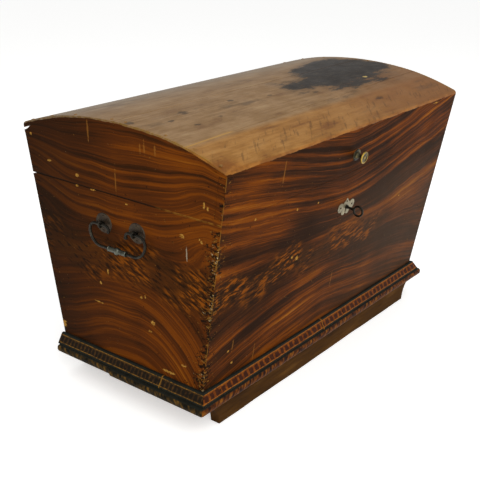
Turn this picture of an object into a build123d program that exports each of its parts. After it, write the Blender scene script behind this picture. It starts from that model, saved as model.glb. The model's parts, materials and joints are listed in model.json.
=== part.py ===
from build123d import *
import os
from math import cos, radians, sin, tan

os.makedirs("parts", exist_ok=True)

# Lengths are in millimetres and angles in degrees.
# The origin is on the floor, under the middle of the trunk. X runs along the trunk,
# the front faces -Y and Z points up.

# Overall form: every wall leans outwards on its way up
lid_edge_length = 1040.0
lid_edge_depth = 604.0
end_lean = 2.8
front_lean = 8.3
foot_height = 60.0
plank_thickness = 19.0
box_wall_height = 438.0
seam_gap = 0.6
lid_wall_height = 118.0
dome_rise = 51.5
wall = 20.0
set_back = 9.6
fit_gap = 0.1

# Dome boards
dome_thickness = 12.0
ridge_reach = 166.0
ridge_height = 38.0
shoulder_bulge = 3.0
nose_radius = 10.0
front_seam = (-195.0, -163.0)
middle_seam = (5.0, 12.0)
back_seam = (185.0, 178.0)
board_gap = 0.3
shoulder_nails = (0.18, 0.68)
crown_nails = (0.1, 0.44, 0.56, 0.9)

# Dovetailed corners
box_tails = 6
lid_tails = 2
pin_share = 0.48
dovetail_flare = 3.5

# Base
plank_overhang = 30.0
front_plank_proud = 4.0
plank_seam = 36.0
plank_corner = 11.0
plank_round = 8.5
moulding_height = 26.0
moulding_foot = 22.0
moulding_ledge = 5.5
moulding_edge = 3.0
left_moulding_joint = -110.0
front_moulding_joint = -17.0
runner_inset = 17.0
runner_width = 26.0
runner_end_inset = 36.0
runner_cove = 43.0
cove_depth = 0.17
back_runner_inset = 4.0

# Wrought nails
nail_shank = 2.6
nail_head = 6.5
nail_head_height = 1.4
nail_length = 26.0
tack_shank = 1.8
tack_head = 4.6
tack_length = 12.0
strap_nail_length = 19.0
moulding_nail_length = 20.0
front_nail_shares = (-0.43, -0.25, -0.08, 0.08, 0.25, 0.43)
end_nail_shares = (-0.31, 0.0, 0.27)
plate_taper = 35.0

# End handles
handle_y = 3.0
handle_drop = 74.0
eye_spacing = 102.0
bail_reach = 85.0
bail_drop = 52.0
bail_radius = 3.3
bail_shoulder = 34.0
bail_crook = 18.0
bail_curl = 9.5
bail_tip_swell = 0.9
curl_start = 15.0
curl_turn = 110.0
eye_clearance = 1.0
eye_wire = 2.2
eye_standoff = 11.2
eye_shank = 2.6
clench_length = 16.0
clench_width = 6.0
clench_thickness = 2.0
rosette_radius = 24.5
rosette_thickness = 2.0
rosette_nail_reach = 17.0
grip_length = 55.0
sleeve_radius = 5.8
bead_radius = 8.8
bead_length = 13.0
collar_radius = 7.0
collar_length = 3.0

# Knob on the lid
knob_height = 76.0
knob_radius = 17.0
knob_standoff = 24.0
knob_rim = 4.6
knob_neck = 4.5
knob_foot = 9.0
knob_foot_height = 1.6
knob_bead = 2.0
knob_dish = 1.2
knob_plate_radius = 15.5
knob_plate_thickness = 2.4
knob_bolt = 3.0
knob_nut = 14.0
knob_nut_thickness = 5.0
knob_tail = 3.0

# Lock, key and escutcheon
keyhole_drop = 94.0
key_shank = 3.2
key_running_gap = 0.06
bow_centre = 36.0
bow_radius = 12.2
bow_wire = 2.6
key_collar_radius = 5.2
key_collar_length = 4.0
key_collar_gap = 0.4
key_pin = 3.0
key_tail = 1.5
bit_reach = 15.0
bit_width = 9.0
bit_thickness = 3.0
keyhole_clearance = 1.0
escutcheon_thickness = 1.2
escutcheon_middle = 17.0
escutcheon_reach = 38.0
escutcheon_lobe = 12.5
escutcheon_rise = 1.5
escutcheon_peak = 24.0
escutcheon_foot = 9.5
escutcheon_foot_lobe = 8.5
case_half_width = 64.0
case_below = 34.0
case_top_inset = 4.0
case_depth = 21.0
case_sheet = 2.0
case_flange = 11.0
bolt_depth = 8.7
bolt_height = 10.0
bolt_thickness = 5.0
bolt_drop = 15.0
bolt_length = 53.0
loop_width = 8.0
loop_clearance = 1.5
loop_bar = 3.5
bolt_tip_gap = 3.0
leg_offset = 15.0
leg_width = 8.0
talon_height = 9.5
talon_depth = 7.0
talon_left = 9.5
talon_right = 23.0
talon_tail = 3.0
guide_reaches = (28.5, 38.0)
guide_thickness = 4.0
guide_bar = 2.5
guide_gap = 0.5
staple_plate_height = 28.0
staple_plate_width = 34.0
staple_plate_thickness = 2.5
staple_plate_inset = 1.0
staple_root = 13.0

# Strap hinges on the back
strap_thickness = 2.5
strap_width = 46.0
strap_waist = 16.0
strap_end_radius = 14.0
box_strap_length = 150.0
lid_strap_length = 92.0
barrel_radius = 5.5
barrel_seat = 0.3
hinge_pin = 2.5
hinge_running_gap = 0.08
knuckle_gap = 0.4
pin_head = 3.8
pin_head_height = 1.5
box_strap_holes = ((13.0, 17.0), (-13.0, 17.0), (0.0, 58.0), (0.0, 92.0), (0.0, 136.0))
lid_strap_holes = ((13.0, 17.0), (-13.0, 17.0), (0.0, 52.0), (0.0, 78.0))

# Heights
plank_top = foot_height + plank_thickness
seam_z = plank_top + box_wall_height
lid_foot = seam_z + seam_gap
edge_z = seam_z + lid_wall_height
crown_z = edge_z + dome_rise
handle_z = seam_z - handle_drop
keyhole_z = seam_z - keyhole_drop
knob_z = edge_z - knob_height
lean = radians(front_lean)
end_angle = radians(end_lean)
board = wall * cos(lean)
end_board = wall * cos(end_angle)


def half_length(z):
    """Half the outside length of the leaning walls at a height."""
    return lid_edge_length / 2 - (edge_z - z) * tan(end_angle)


def half_depth(z):
    """Half the outside depth of the leaning walls at a height."""
    return lid_edge_depth / 2 - (edge_z - z) * tan(lean)


# Planes on the leaning faces: X to the viewer's right, Y up the face, Z outwards
def front_plane(z):
    return Plane(origin=(0, -half_depth(z), z), x_dir=(1, 0, 0), z_dir=(0, -cos(lean), -sin(lean)))


def back_plane(x, z):
    return Plane(origin=(x, half_depth(z), z), x_dir=(-1, 0, 0), z_dir=(0, cos(lean), -sin(lean)))


def left_plane(y, z):
    return Plane(
        origin=(-half_length(z), y, z),
        x_dir=(0, -1, 0),
        z_dir=(-cos(end_angle), 0, -sin(end_angle)),
    )


def moved(plane, u=0.0, v=0.0, w=0.0):
    """The same plane with its origin moved along its own axes."""
    return Plane(plane.from_local_coords((u, v, w)), x_dir=plane.x_dir, z_dir=plane.z_dir)


def turning_plane(plane):
    """A plane through the plane's axis, for a turned profile: X is radius, Y is outwards."""
    return Plane(plane.origin, x_dir=plane.x_dir, z_dir=-plane.y_dir)


def across(plane):
    """A plane whose axis runs along the given plane's X direction."""
    return Plane(plane.origin, x_dir=plane.y_dir, z_dir=plane.x_dir)


def nails(planes, shank, head, length):
    """One wrought nail at each plane: a four-sided rose head on a square shank."""
    with BuildPart() as group:
        with BuildSketch(*planes):
            Rectangle(head, head)
        extrude(amount=nail_head_height, taper=45)
        with BuildSketch(*planes):
            Rectangle(shank, shank)
        extrude(amount=-length)
    return group.part


# Blocks that the boards are cut from
def leaning_block(foot, top):
    """The outside of the leaning walls between two heights, filled."""
    with BuildPart() as block:
        with BuildSketch(Plane.YZ):
            Polygon(
                (-half_depth(foot), foot),
                (half_depth(foot), foot),
                (half_depth(top), top),
                (-half_depth(top), top),
                align=None,
            )
        extrude(amount=lid_edge_length, both=True)
        with BuildSketch(Plane.XZ):
            Polygon(
                (-half_length(foot), foot),
                (half_length(foot), foot),
                (half_length(top), top),
                (-half_length(top), top),
                align=None,
            )
        extrude(amount=lid_edge_depth, both=True, mode=Mode.INTERSECT)
    return block.part


def dome_points(drop):
    """Edge, shoulder, ridge and crown of the dome's back half, lowered by drop, as (Y, Z)."""
    top = edge_z - drop
    edge = Vector(half_depth(top), top)
    ridge = Vector(ridge_reach, top + ridge_height)
    slope = (edge - ridge).normalized()
    shoulder = (edge + ridge) / 2 + Vector(-slope.Y, slope.X) * shoulder_bulge
    return edge, shoulder, ridge, Vector(0, crown_z - drop)


def lid_block(drop, nose):
    """The outside of the lid, filled, with its dome lowered by drop and its nose rounded."""
    edge, shoulder, ridge, crown = dome_points(drop)
    foot = Vector(half_depth(lid_foot), lid_foot)
    with BuildPart() as block:
        with BuildSketch(Plane.YZ) as section:
            with BuildLine():
                Line((0, lid_foot), foot)
                Line(foot, edge)
                ThreePointArc(edge, shoulder, ridge)
                ThreePointArc(ridge, crown, (-ridge.X, ridge.Y))
                ThreePointArc((-ridge.X, ridge.Y), (-shoulder.X, shoulder.Y), (-edge.X, edge.Y))
                Line((-edge.X, edge.Y), (-foot.X, foot.Y))
                Line((-foot.X, foot.Y), (0, lid_foot))
            make_face()
            if nose > 0:
                fillet(section.vertices().group_by(Axis.Y)[-3], radius=nose)
        extrude(amount=lid_edge_length, both=True)
        with BuildSketch(Plane.XZ):
            Polygon(
                (-half_length(lid_foot), lid_foot),
                (half_length(lid_foot), lid_foot),
                (half_length(2 * crown_z), 2 * crown_z),
                (-half_length(2 * crown_z), 2 * crown_z),
                align=None,
            )
        extrude(amount=lid_edge_depth, both=True, mode=Mode.INTERSECT)
    return block.part


def long_slab(side):
    """All that lies within one wall's thickness of the front (-1) or back (1) face."""
    with BuildPart() as slab:
        with BuildSketch(Plane.YZ):
            Polygon(
                (side * half_depth(0), 0),
                (side * half_depth(crown_z), crown_z),
                (side * (half_depth(crown_z) - wall), crown_z),
                (side * (half_depth(0) - wall), 0),
                align=None,
            )
        extrude(amount=lid_edge_length, both=True)
    return slab.part


def end_slab(side):
    """All that lies within one wall's thickness of the left (-1) or right (1) face."""
    with BuildPart() as slab:
        with BuildSketch(Plane.XZ):
            Polygon(
                (side * half_length(0), 0),
                (side * half_length(crown_z), crown_z),
                (side * (half_length(crown_z) - wall), crown_z),
                (side * (half_length(0) - wall), 0),
                align=None,
            )
        extrude(amount=lid_edge_depth, both=True)
    return slab.part


front_slab, back_slab = long_slab(-1), long_slab(1)
left_slab, right_slab = end_slab(-1), end_slab(1)


def corner_pins(foot, top, tails):
    """The end walls' dovetail pins at all four corners: wedges that widen inwards."""
    pitch = (top - foot) / tails
    outer = pitch * pin_share / 2
    inner = outer + dovetail_flare
    with BuildPart() as pins:
        with BuildSketch(Plane.XZ):
            for step in range(tails + 1):
                z = foot + step * pitch
                x_in, x_out = half_length(z) - wall, half_length(z)
                Polygon(
                    (x_in - wall, z - inner),
                    (x_in, z - inner),
                    (x_out, z - outer),
                    (x_out + wall, z - outer),
                    (x_out + wall, z + outer),
                    (x_out, z + outer),
                    (x_in, z + inner),
                    (x_in - wall, z + inner),
                    align=None,
                )
            mirror(about=Plane.YZ)
        extrude(amount=lid_edge_depth, both=True)
        add(left_slab + right_slab, mode=Mode.INTERSECT)
    return pins.part


# The box's four walls, dovetailed at the corners
box_block = leaning_block(plank_top, seam_z)
box_pins = corner_pins(plank_top, seam_z, box_tails)

# Local planes of the fittings
key_plane = front_plane(keyhole_z)
inner_face = moved(key_plane, w=-board)
knob_plane = front_plane(knob_z)
eye_places = [left_plane(handle_y + side * eye_spacing / 2, handle_z) for side in (1, -1)]

# Keyhole: a round hole with a slot below it for the key's bit
keyhole_radius = key_shank + keyhole_clearance
slot_width = bit_thickness + 2 * keyhole_clearance
slot_depth = bit_reach + keyhole_clearance
with BuildPart() as keyhole:
    with BuildSketch(key_plane):
        Circle(keyhole_radius)
        Rectangle(slot_width, slot_depth, align=(Align.CENTER, Align.MAX))
    extrude(amount=2 * wall, both=True)

with BuildPart() as box_front_board:
    add(box_block)
    add(front_slab, mode=Mode.INTERSECT)
    add(box_pins, mode=Mode.SUBTRACT)
    add(keyhole.part, mode=Mode.SUBTRACT)

with BuildPart() as box_back_board:
    add(box_block)
    add(back_slab, mode=Mode.INTERSECT)
    add(box_pins, mode=Mode.SUBTRACT)

# The end walls, bored for the shanks of the handle eyes
with BuildPart() as box_left_board:
    add(box_block)
    add(left_slab, mode=Mode.INTERSECT)
    add(box_front_board.part, mode=Mode.SUBTRACT)
    add(box_back_board.part, mode=Mode.SUBTRACT)
    with BuildSketch(*eye_places):
        Circle(eye_shank)
    extrude(amount=-2 * wall, mode=Mode.SUBTRACT)

with BuildPart() as box_right_board:
    mirror(box_left_board.part, about=Plane.YZ)

# Bottom planks: two lengthwise planks whose rounded margins form the lower moulding
foot_half_length = half_length(plank_top)
foot_half_depth = half_depth(plank_top)
plank_front = -foot_half_depth - plank_overhang
plank_half_length = foot_half_length + plank_overhang


def plank(front_y, back_y, half_span, outer_corners):
    """A lengthwise plank with rounded long front edge, rounded ends and rounded front corners."""
    with BuildPart() as piece:
        with BuildSketch(Plane.XY.offset(foot_height)) as plan:
            Polygon(
                (-half_span, front_y),
                (half_span, front_y),
                (half_span, back_y),
                (-half_span, back_y),
                align=None,
            )
            fillet(plan.vertices().group_by(Axis.Y)[0], radius=outer_corners)
        extrude(amount=plank_thickness)
        tops_and_bottoms = piece.faces().filter_by(Axis.Z).edges()
        rounded = tops_and_bottoms - tops_and_bottoms.group_by(Axis.Y)[-1]
        fillet(rounded, radius=plank_round)
    return piece.part


with BuildPart() as bottom_plank_front:
    add(plank(plank_front, plank_seam, plank_half_length + front_plank_proud, plank_corner))

with BuildPart() as back_plank_blank:
    add(plank(plank_front, foot_half_depth, plank_half_length, plank_corner))

with BuildPart() as bottom_plank_back:
    add(back_plank_blank.part)
    split(bisect_by=Plane.XZ.offset(-plank_seam), keep=Keep.BOTTOM)


# Base moulding: splayed strips around the front and the ends, mitred at the front corners
def moulding_section(reach):
    """The strip's section as (distance from the origin, height) points on one leaning side."""
    top = plank_top + moulding_height
    return (
        (reach(plank_top), plank_top),
        (reach(plank_top) + moulding_foot, plank_top),
        (reach(plank_top) + moulding_foot, plank_top + moulding_edge),
        (reach(top) + moulding_ledge, top - moulding_edge / 2),
        (reach(top) + moulding_ledge - moulding_edge / 2, top),
        (reach(top), top),
    )


mitre = foot_half_length + foot_half_depth
with BuildPart() as front_moulding:
    with BuildSketch(Plane.YZ):
        Polygon(*[(-y, z) for y, z in moulding_section(half_depth)], align=None)
    extrude(amount=lid_edge_length, both=True)
    with BuildSketch(Plane.XY):
        Polygon(
            (-foot_half_length, -foot_half_depth),
            (foot_half_length, -foot_half_depth),
            (foot_half_length + mitre, -foot_half_depth - mitre),
            (-foot_half_length - mitre, -foot_half_depth - mitre),
            align=None,
        )
    extrude(amount=crown_z, mode=Mode.INTERSECT)

with BuildPart() as base_moulding_right:
    with BuildSketch(Plane.XZ):
        Polygon(*moulding_section(half_length), align=None)
    extrude(amount=lid_edge_depth, both=True)
    with BuildSketch(Plane.XY):
        Polygon(
            (foot_half_length, foot_half_depth),
            (foot_half_length, -foot_half_depth),
            (foot_half_length + mitre, -foot_half_depth - mitre),
            (foot_half_length + mitre, foot_half_depth),
            align=None,
        )
    extrude(amount=crown_z, mode=Mode.INTERSECT)

with BuildPart() as left_moulding:
    mirror(base_moulding_right.part, about=Plane.YZ)

with BuildPart() as base_moulding_front_left:
    add(front_moulding.part)
    split(bisect_by=Plane.YZ.offset(front_moulding_joint - board_gap / 2), keep=Keep.BOTTOM)

with BuildPart() as base_moulding_front_right:
    add(front_moulding.part)
    split(bisect_by=Plane.YZ.offset(front_moulding_joint + board_gap / 2), keep=Keep.TOP)

with BuildPart() as base_moulding_left_front:
    add(left_moulding.part)
    split(bisect_by=Plane.XZ.offset(-left_moulding_joint + board_gap / 2), keep=Keep.TOP)

with BuildPart() as base_moulding_left_back:
    add(left_moulding.part)
    split(bisect_by=Plane.XZ.offset(-left_moulding_joint - board_gap / 2), keep=Keep.BOTTOM)


# Runners: boards on edge under the planks, their ends hollowed by a cove
def runner(front_y):
    top_half = plank_half_length - runner_end_inset
    bottom_half = top_half - runner_cove
    cove = (bottom_half + cove_depth * runner_cove, foot_height / 2)
    with BuildPart() as piece:
        with BuildSketch(Plane.XZ.offset(-front_y)):
            with BuildLine():
                Line((0, foot_height), (top_half, foot_height))
                ThreePointArc((top_half, foot_height), cove, (bottom_half, 0))
                Line((bottom_half, 0), (0, 0))
                mirror(about=Plane.YZ)
            make_face()
        extrude(amount=-runner_width)
    return piece.part


with BuildPart() as runner_front:
    add(runner(plank_front + runner_inset))

with BuildPart() as runner_back:
    add(runner(foot_half_depth - back_runner_inset - runner_width))

# The lid's walls and its four dome boards
lid_outside = lid_block(0, nose_radius)
lid_inside = lid_block(dome_thickness, 0)
lid_pins = corner_pins(lid_foot, edge_z, lid_tails)

with BuildPart() as lid_front_rail:
    add(lid_inside)
    add(front_slab, mode=Mode.INTERSECT)
    add(lid_pins, mode=Mode.SUBTRACT)
    with BuildSketch(knob_plane):
        Circle(knob_bolt + fit_gap)
    extrude(amount=2 * wall, both=True, mode=Mode.SUBTRACT)

with BuildPart() as lid_back_rail:
    add(lid_inside)
    add(back_slab, mode=Mode.INTERSECT)
    add(lid_pins, mode=Mode.SUBTRACT)

with BuildPart() as lid_left_gable:
    add(lid_inside)
    add(left_slab, mode=Mode.INTERSECT)
    add(lid_front_rail.part, mode=Mode.SUBTRACT)
    add(lid_back_rail.part, mode=Mode.SUBTRACT)

with BuildPart() as lid_right_gable:
    mirror(lid_left_gable.part, about=Plane.YZ)

with BuildPart() as dome_shell:
    add(lid_outside)
    add(lid_inside, mode=Mode.SUBTRACT)

outer = lid_edge_depth
seams = [(-outer, -outer), front_seam, middle_seam, back_seam, (outer, outer)]
half_span = lid_edge_length / 2


def dome_board(number):
    """One lengthwise board of the dome, between two seams that may run askew."""
    (front_left, front_right), (back_left, back_right) = seams[number], seams[number + 1]
    with BuildPart() as piece:
        add(dome_shell.part)
        with BuildSketch(Plane.XY):
            Polygon(
                (-half_span - wall, front_left + board_gap / 2),
                (half_span + wall, front_right + board_gap / 2),
                (half_span + wall, back_right - board_gap / 2),
                (-half_span - wall, back_left - board_gap / 2),
                align=None,
            )
        extrude(amount=2 * crown_z, mode=Mode.INTERSECT)
    return piece.part


# Knob: a dished disc on a waisted neck, over a small round plate, with a bolt and a square nut
with BuildPart() as knob:
    disc_top = knob_standoff - knob_plate_thickness
    disc_foot = disc_top - knob_rim
    with BuildSketch(turning_plane(moved(knob_plane, w=knob_plate_thickness))):
        with BuildLine():
            Polyline(
                (0, 0),
                (knob_foot, 0),
                (knob_foot, knob_foot_height),
                (knob_foot - knob_foot_height, 2 * knob_foot_height),
            )
            ThreePointArc(
                (knob_foot - knob_foot_height, 2 * knob_foot_height),
                (knob_neck, disc_foot / 2),
                (knob_neck + knob_bead, disc_foot - knob_bead),
            )
            Polyline(
                (knob_neck + knob_bead, disc_foot - knob_bead),
                (knob_radius - knob_bead, disc_foot),
                (knob_radius, disc_foot + knob_rim / 2),
                (knob_radius - knob_bead / 2, disc_top),
                (knob_radius - 1.5 * knob_bead, disc_top),
                (knob_radius - 2 * knob_bead, disc_top - knob_dish),
                (knob_neck + knob_bead, disc_top - knob_dish),
                (knob_neck, disc_top),
                (0, disc_top),
                (0, 0),
            )
        make_face()
    revolve(axis=Axis(knob_plane.origin, knob_plane.z_dir))
    with BuildSketch(moved(knob_plane, w=knob_plate_thickness)):
        Circle(knob_bolt)
    extrude(amount=-(knob_plate_thickness + board + knob_nut_thickness + knob_tail))

with BuildPart() as knob_backplate:
    with BuildSketch(knob_plane):
        Circle(knob_plate_radius)
        Circle(knob_bolt + fit_gap, mode=Mode.SUBTRACT)
    extrude(amount=knob_plate_thickness, taper=plate_taper)

with BuildPart() as knob_square_nut:
    with BuildSketch(moved(knob_plane, w=-board)):
        Rectangle(knob_nut, knob_nut)
        Circle(knob_bolt + fit_gap, mode=Mode.SUBTRACT)
    extrude(amount=-knob_nut_thickness)

# Handle on the left end: eyes are rings on shanks driven through the wall and clenched
eye_hole = bail_radius + eye_clearance
with BuildPart() as left_eyes:
    for place in eye_places:
        with Locations(across(moved(place, w=eye_standoff)).location):
            Torus(eye_hole + eye_wire, eye_wire)
    with BuildSketch(*[moved(place, w=-end_board) for place in eye_places]):
        Circle(eye_shank)
    extrude(amount=end_board + eye_standoff - eye_hole - eye_wire)
    with BuildSketch(*[moved(place, w=-end_board) for place in eye_places]):
        Rectangle(clench_width, 2 * clench_length)
    extrude(amount=-clench_thickness)

with BuildPart() as left_rosettes:
    with BuildSketch(*eye_places):
        Circle(rosette_radius)
        Circle(eye_shank, mode=Mode.SUBTRACT)
    extrude(amount=rosette_thickness, taper=plate_taper)

rosette_tops = [
    moved(place, u=u, v=v, w=rosette_thickness)
    for place in eye_places
    for u, v in ((0, 1), (1, 0), (0, -1), (-1, 0))
    for u, v in ((u * rosette_nail_reach, v * rosette_nail_reach),)
]

# The bail hangs plumb from the eyes; it is made as one half and mirrored
eye_middle = left_plane(handle_y, handle_z).from_local_coords((0, 0, eye_standoff))
bail_plane = Plane(eye_middle, x_dir=(0, -1, 0), z_dir=(-1, 0, 0))
curl_x = eye_spacing / 2 - curl_start
with BuildPart() as left_bail:
    with BuildLine(bail_plane) as rod:
        Line((0, -bail_drop), (bail_reach - bail_shoulder, -bail_drop))
        CenterArc((bail_reach - bail_shoulder, bail_shoulder - bail_drop), bail_shoulder, -90, 90)
        CenterArc((bail_reach - bail_crook, -bail_crook), bail_crook, 0, 90)
        Line((bail_reach - bail_crook, 0), (curl_x, 0))
        CenterArc((curl_x, -bail_curl), bail_curl, 90, curl_turn)
    with BuildSketch(Plane(rod.line @ 0, z_dir=rod.line % 0)):
        Circle(bail_radius)
    sweep()
    with Locations(rod.line @ 1):
        Sphere(bail_radius + bail_tip_swell)
    mirror(about=Plane.XZ.offset(-handle_y))

# Grip: two sleeves and a bead, bored for the bail's bar
grip_plane = moved(bail_plane, v=-bail_drop)
with BuildPart() as left_bail_grip:
    with BuildSketch(grip_plane):
        with BuildLine():
            bore = bail_radius + fit_gap
            Polyline(
                (0, bore),
                (grip_length / 2, bore),
                (grip_length / 2, sleeve_radius),
                (grip_length / 2 - collar_length / 2, collar_radius),
                (grip_length / 2 - collar_length, sleeve_radius),
                (bead_length / 2, sleeve_radius),
            )
            ThreePointArc(
                (bead_length / 2, sleeve_radius), (0, bead_radius), (-bead_length / 2, sleeve_radius)
            )
            Polyline((-bead_length / 2, sleeve_radius), (-bead_length / 2, bore), (0, bore))
        make_face()
        mirror(about=Plane.YZ)
    revolve(axis=Axis(grip_plane.origin, grip_plane.x_dir))

# Lock case: a sheet tray with nailed flanges, a slot for the staple and a seat for the key's end
board_top = (seam_z - keyhole_z) / cos(lean)
case_above = board_top - case_top_inset
bolt_middle = board + bolt_depth
with BuildPart() as lock_case:
    case_span = case_above + case_below
    case_middle = (case_above - case_below) / 2
    with BuildSketch(moved(inner_face, v=case_middle)):
        Rectangle(2 * case_half_width, case_span)
    extrude(amount=-case_depth)
    with BuildSketch(moved(inner_face, v=case_middle)):
        Rectangle(2 * (case_half_width + case_flange), case_span)
    extrude(amount=-case_sheet)
    with BuildSketch(moved(inner_face, v=case_middle)):
        Rectangle(2 * (case_half_width - case_sheet), case_span - 2 * case_sheet)
    extrude(amount=-(case_depth - case_sheet), mode=Mode.SUBTRACT)
    with BuildSketch(moved(inner_face, v=case_above)):
        Rectangle(loop_width + 2 * loop_clearance, 3 * case_sheet)
    extrude(amount=-(case_depth - case_sheet), mode=Mode.SUBTRACT)
    with BuildSketch(inner_face):
        Circle(key_pin + key_running_gap)
    extrude(amount=-case_depth, mode=Mode.SUBTRACT)

# Bolt: a bar, with a leg down to the talon that the key's bit pushes
bar_top = case_above - bolt_drop + bolt_height / 2
bar_foot = bar_top - bolt_height
bar_left = loop_width / 2 + bolt_tip_gap
with BuildPart() as lock_bolt:
    with BuildSketch(moved(key_plane, w=-bolt_middle)):
        Polygon(
            (bar_left, bar_foot),
            (bar_left, bar_top),
            (bar_left + bolt_length, bar_top),
            (bar_left + bolt_length, bar_foot),
            (bar_left + leg_offset + leg_width, bar_foot),
            (bar_left + leg_offset + leg_width, talon_height),
            (talon_right, talon_height),
            (talon_right, talon_height + talon_depth),
            (talon_left, talon_height + talon_depth),
            (talon_left, talon_height),
            (talon_tail, talon_height),
            (talon_tail, talon_height + 2 * talon_depth),
            (bar_left + leg_offset, talon_height + 2 * talon_depth),
            (bar_left + leg_offset, bar_foot),
            align=None,
        )
    extrude(amount=bolt_thickness / 2, both=True)

# Guides: two loops riveted to the case that the bolt's bar slides through
bar_middle = bar_top - bolt_height / 2
with BuildPart() as lock_guides:
    for reach in guide_reaches:
        with BuildSketch(across(moved(key_plane, u=bar_left + reach, v=bar_middle, w=-bolt_middle))):
            block_front = bolt_thickness / 2 + guide_gap + guide_bar
            block_back = bolt_middle - board - case_depth + case_sheet
            with Locations((0, (block_front + block_back) / 2)):
                Rectangle(bolt_height + 2 * (guide_gap + guide_bar), block_front - block_back)
            Rectangle(bolt_height + 2 * guide_gap, bolt_thickness + 2 * guide_gap, mode=Mode.SUBTRACT)
        extrude(amount=guide_thickness / 2, both=True)

# Staple: a plate on the lid's front rail with a loop that hangs into the lock
rail_foot = (lid_foot - keyhole_z) / cos(lean)
loop_front = -(bolt_middle - bolt_thickness / 2 - loop_clearance - loop_bar)
loop_back = -(bolt_middle + bolt_thickness / 2 + loop_clearance + loop_bar)
loop_foot = bar_foot - loop_clearance - loop_bar
plate_foot = rail_foot + staple_plate_inset
with BuildPart() as lock_staple:
    with BuildSketch(moved(inner_face, v=plate_foot)):
        Rectangle(staple_plate_width, staple_plate_height, align=(Align.CENTER, Align.MIN))
    extrude(amount=-staple_plate_thickness)
    with BuildSketch(across(key_plane)):
        Polygon(
            (loop_foot, loop_front),
            (plate_foot + staple_root, loop_front),
            (plate_foot + staple_root, loop_front - loop_bar),
            (plate_foot, loop_back),
            (loop_foot, loop_back),
            align=None,
        )
        with Locations((bar_middle, -bolt_middle)):
            Rectangle(
                bolt_height + 2 * loop_clearance, bolt_thickness + 2 * loop_clearance, mode=Mode.SUBTRACT
            )
    extrude(amount=loop_width / 2, both=True)

# Key: shank, collar, bit and ring bow; its end turns in the lock case
with BuildPart() as key:
    pin_end = -(board + case_depth + key_tail)
    pin_root = -(board + case_depth - case_sheet - key_tail)
    collar_foot = escutcheon_thickness + key_collar_gap
    with BuildSketch(turning_plane(key_plane)):
        Polygon(
            (0, pin_end),
            (key_pin, pin_end),
            (key_pin, pin_root),
            (key_shank, pin_root),
            (key_shank, collar_foot),
            (key_collar_radius, collar_foot),
            (key_collar_radius, collar_foot + key_collar_length),
            (key_shank, collar_foot + key_collar_length),
            (key_shank, bow_centre - bow_radius),
            (0, bow_centre - bow_radius),
            align=None,
        )
    revolve(axis=Axis(key_plane.origin, key_plane.z_dir))
    with BuildSketch(moved(key_plane, w=-(bolt_middle - bit_width / 2))):
        Rectangle(bit_thickness, bit_reach, align=(Align.CENTER, Align.MAX))
    extrude(amount=-bit_width)
    with Locations(across(moved(key_plane, w=bow_centre)).location):
        Torus(bow_radius, bow_wire)

# Escutcheon: a thin plate with two side lobes, a peak and two lower lobes
lobe_x = escutcheon_reach - escutcheon_lobe
with BuildPart() as escutcheon:
    with BuildSketch(key_plane):
        Circle(escutcheon_middle)
        with Locations((lobe_x, escutcheon_rise), (-lobe_x, escutcheon_rise)):
            Circle(escutcheon_lobe)
        with Locations((escutcheon_foot, -escutcheon_lobe), (-escutcheon_foot, -escutcheon_lobe)):
            Circle(escutcheon_foot_lobe)
        Polygon(
            (-escutcheon_foot_lobe, escutcheon_lobe),
            (escutcheon_foot_lobe, escutcheon_lobe),
            (0, escutcheon_peak),
            align=None,
        )
    extrude(amount=escutcheon_thickness)
    add(keyhole.part, mode=Mode.SUBTRACT)


# Strap hinges on the back: tapering straps with interlocking knuckles on one pin
def strap(place, length, side, other_knuckles):
    """A strap up (1) or down (-1) the back, with the knuckles that the other strap leaves."""
    knuckle = strap_width / 3
    barrel = moved(place, u=-strap_width / 2, w=barrel_radius + barrel_seat)
    waist = side * (strap_width + barrel_radius)
    shoulder = side * strap_width / 2
    with BuildPart() as piece:
        with BuildSketch(place):
            Polygon(
                (-strap_width / 2, 0),
                (strap_width / 2, 0),
                (strap_width / 2, shoulder),
                (strap_waist / 2, waist),
                (strap_waist / 2, side * (length - strap_end_radius)),
                (-strap_waist / 2, side * (length - strap_end_radius)),
                (-strap_waist / 2, waist),
                (-strap_width / 2, shoulder),
                align=None,
            )
            with Locations((0, side * (length - strap_end_radius))):
                Circle(strap_end_radius)
        extrude(amount=strap_thickness)
        with BuildSketch(across(barrel)):
            Circle(barrel_radius)
        extrude(amount=strap_width)
        with BuildSketch(*[moved(place, u=step * knuckle) for step in other_knuckles]):
            Rectangle(knuckle + knuckle_gap, 2 * (barrel_radius + knuckle_gap))
        extrude(amount=3 * barrel_radius, mode=Mode.SUBTRACT)
        with BuildSketch(across(barrel)):
            Circle(hinge_pin if side < 0 else hinge_pin + hinge_running_gap)
        extrude(amount=strap_width, mode=Mode.SUBTRACT)
    return piece.part


left_hinge = back_plane(-lid_edge_length / 3, (seam_z + lid_foot) / 2)
with BuildPart() as hinge_left_box_strap:
    add(strap(left_hinge, box_strap_length, -1, (0,)))

with BuildPart() as hinge_left_lid_strap:
    add(strap(left_hinge, lid_strap_length, 1, (-1, 1)))

with BuildPart() as hinge_left_pin:
    pin_span = strap_width + 2 * pin_head_height
    with BuildSketch(across(moved(left_hinge, u=-pin_span / 2, w=barrel_radius + barrel_seat))):
        Circle(hinge_pin)
    extrude(amount=pin_span)
    for end in (-pin_span / 2, strap_width / 2):
        with BuildSketch(across(moved(left_hinge, u=end, w=barrel_radius + barrel_seat))):
            Circle(pin_head)
        extrude(amount=pin_head_height)

strap_tops = moved(left_hinge, w=strap_thickness)
box_strap_nails = [moved(strap_tops, u=u, v=-v) for u, v in box_strap_holes]
lid_strap_nails = [moved(strap_tops, u=u, v=v) for u, v in lid_strap_holes]

# Right-hand fittings mirror the left-hand ones
with BuildPart() as right_eyes:
    mirror(left_eyes.part, about=Plane.YZ)

with BuildPart() as right_rosettes:
    mirror(left_rosettes.part, about=Plane.YZ)

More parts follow.
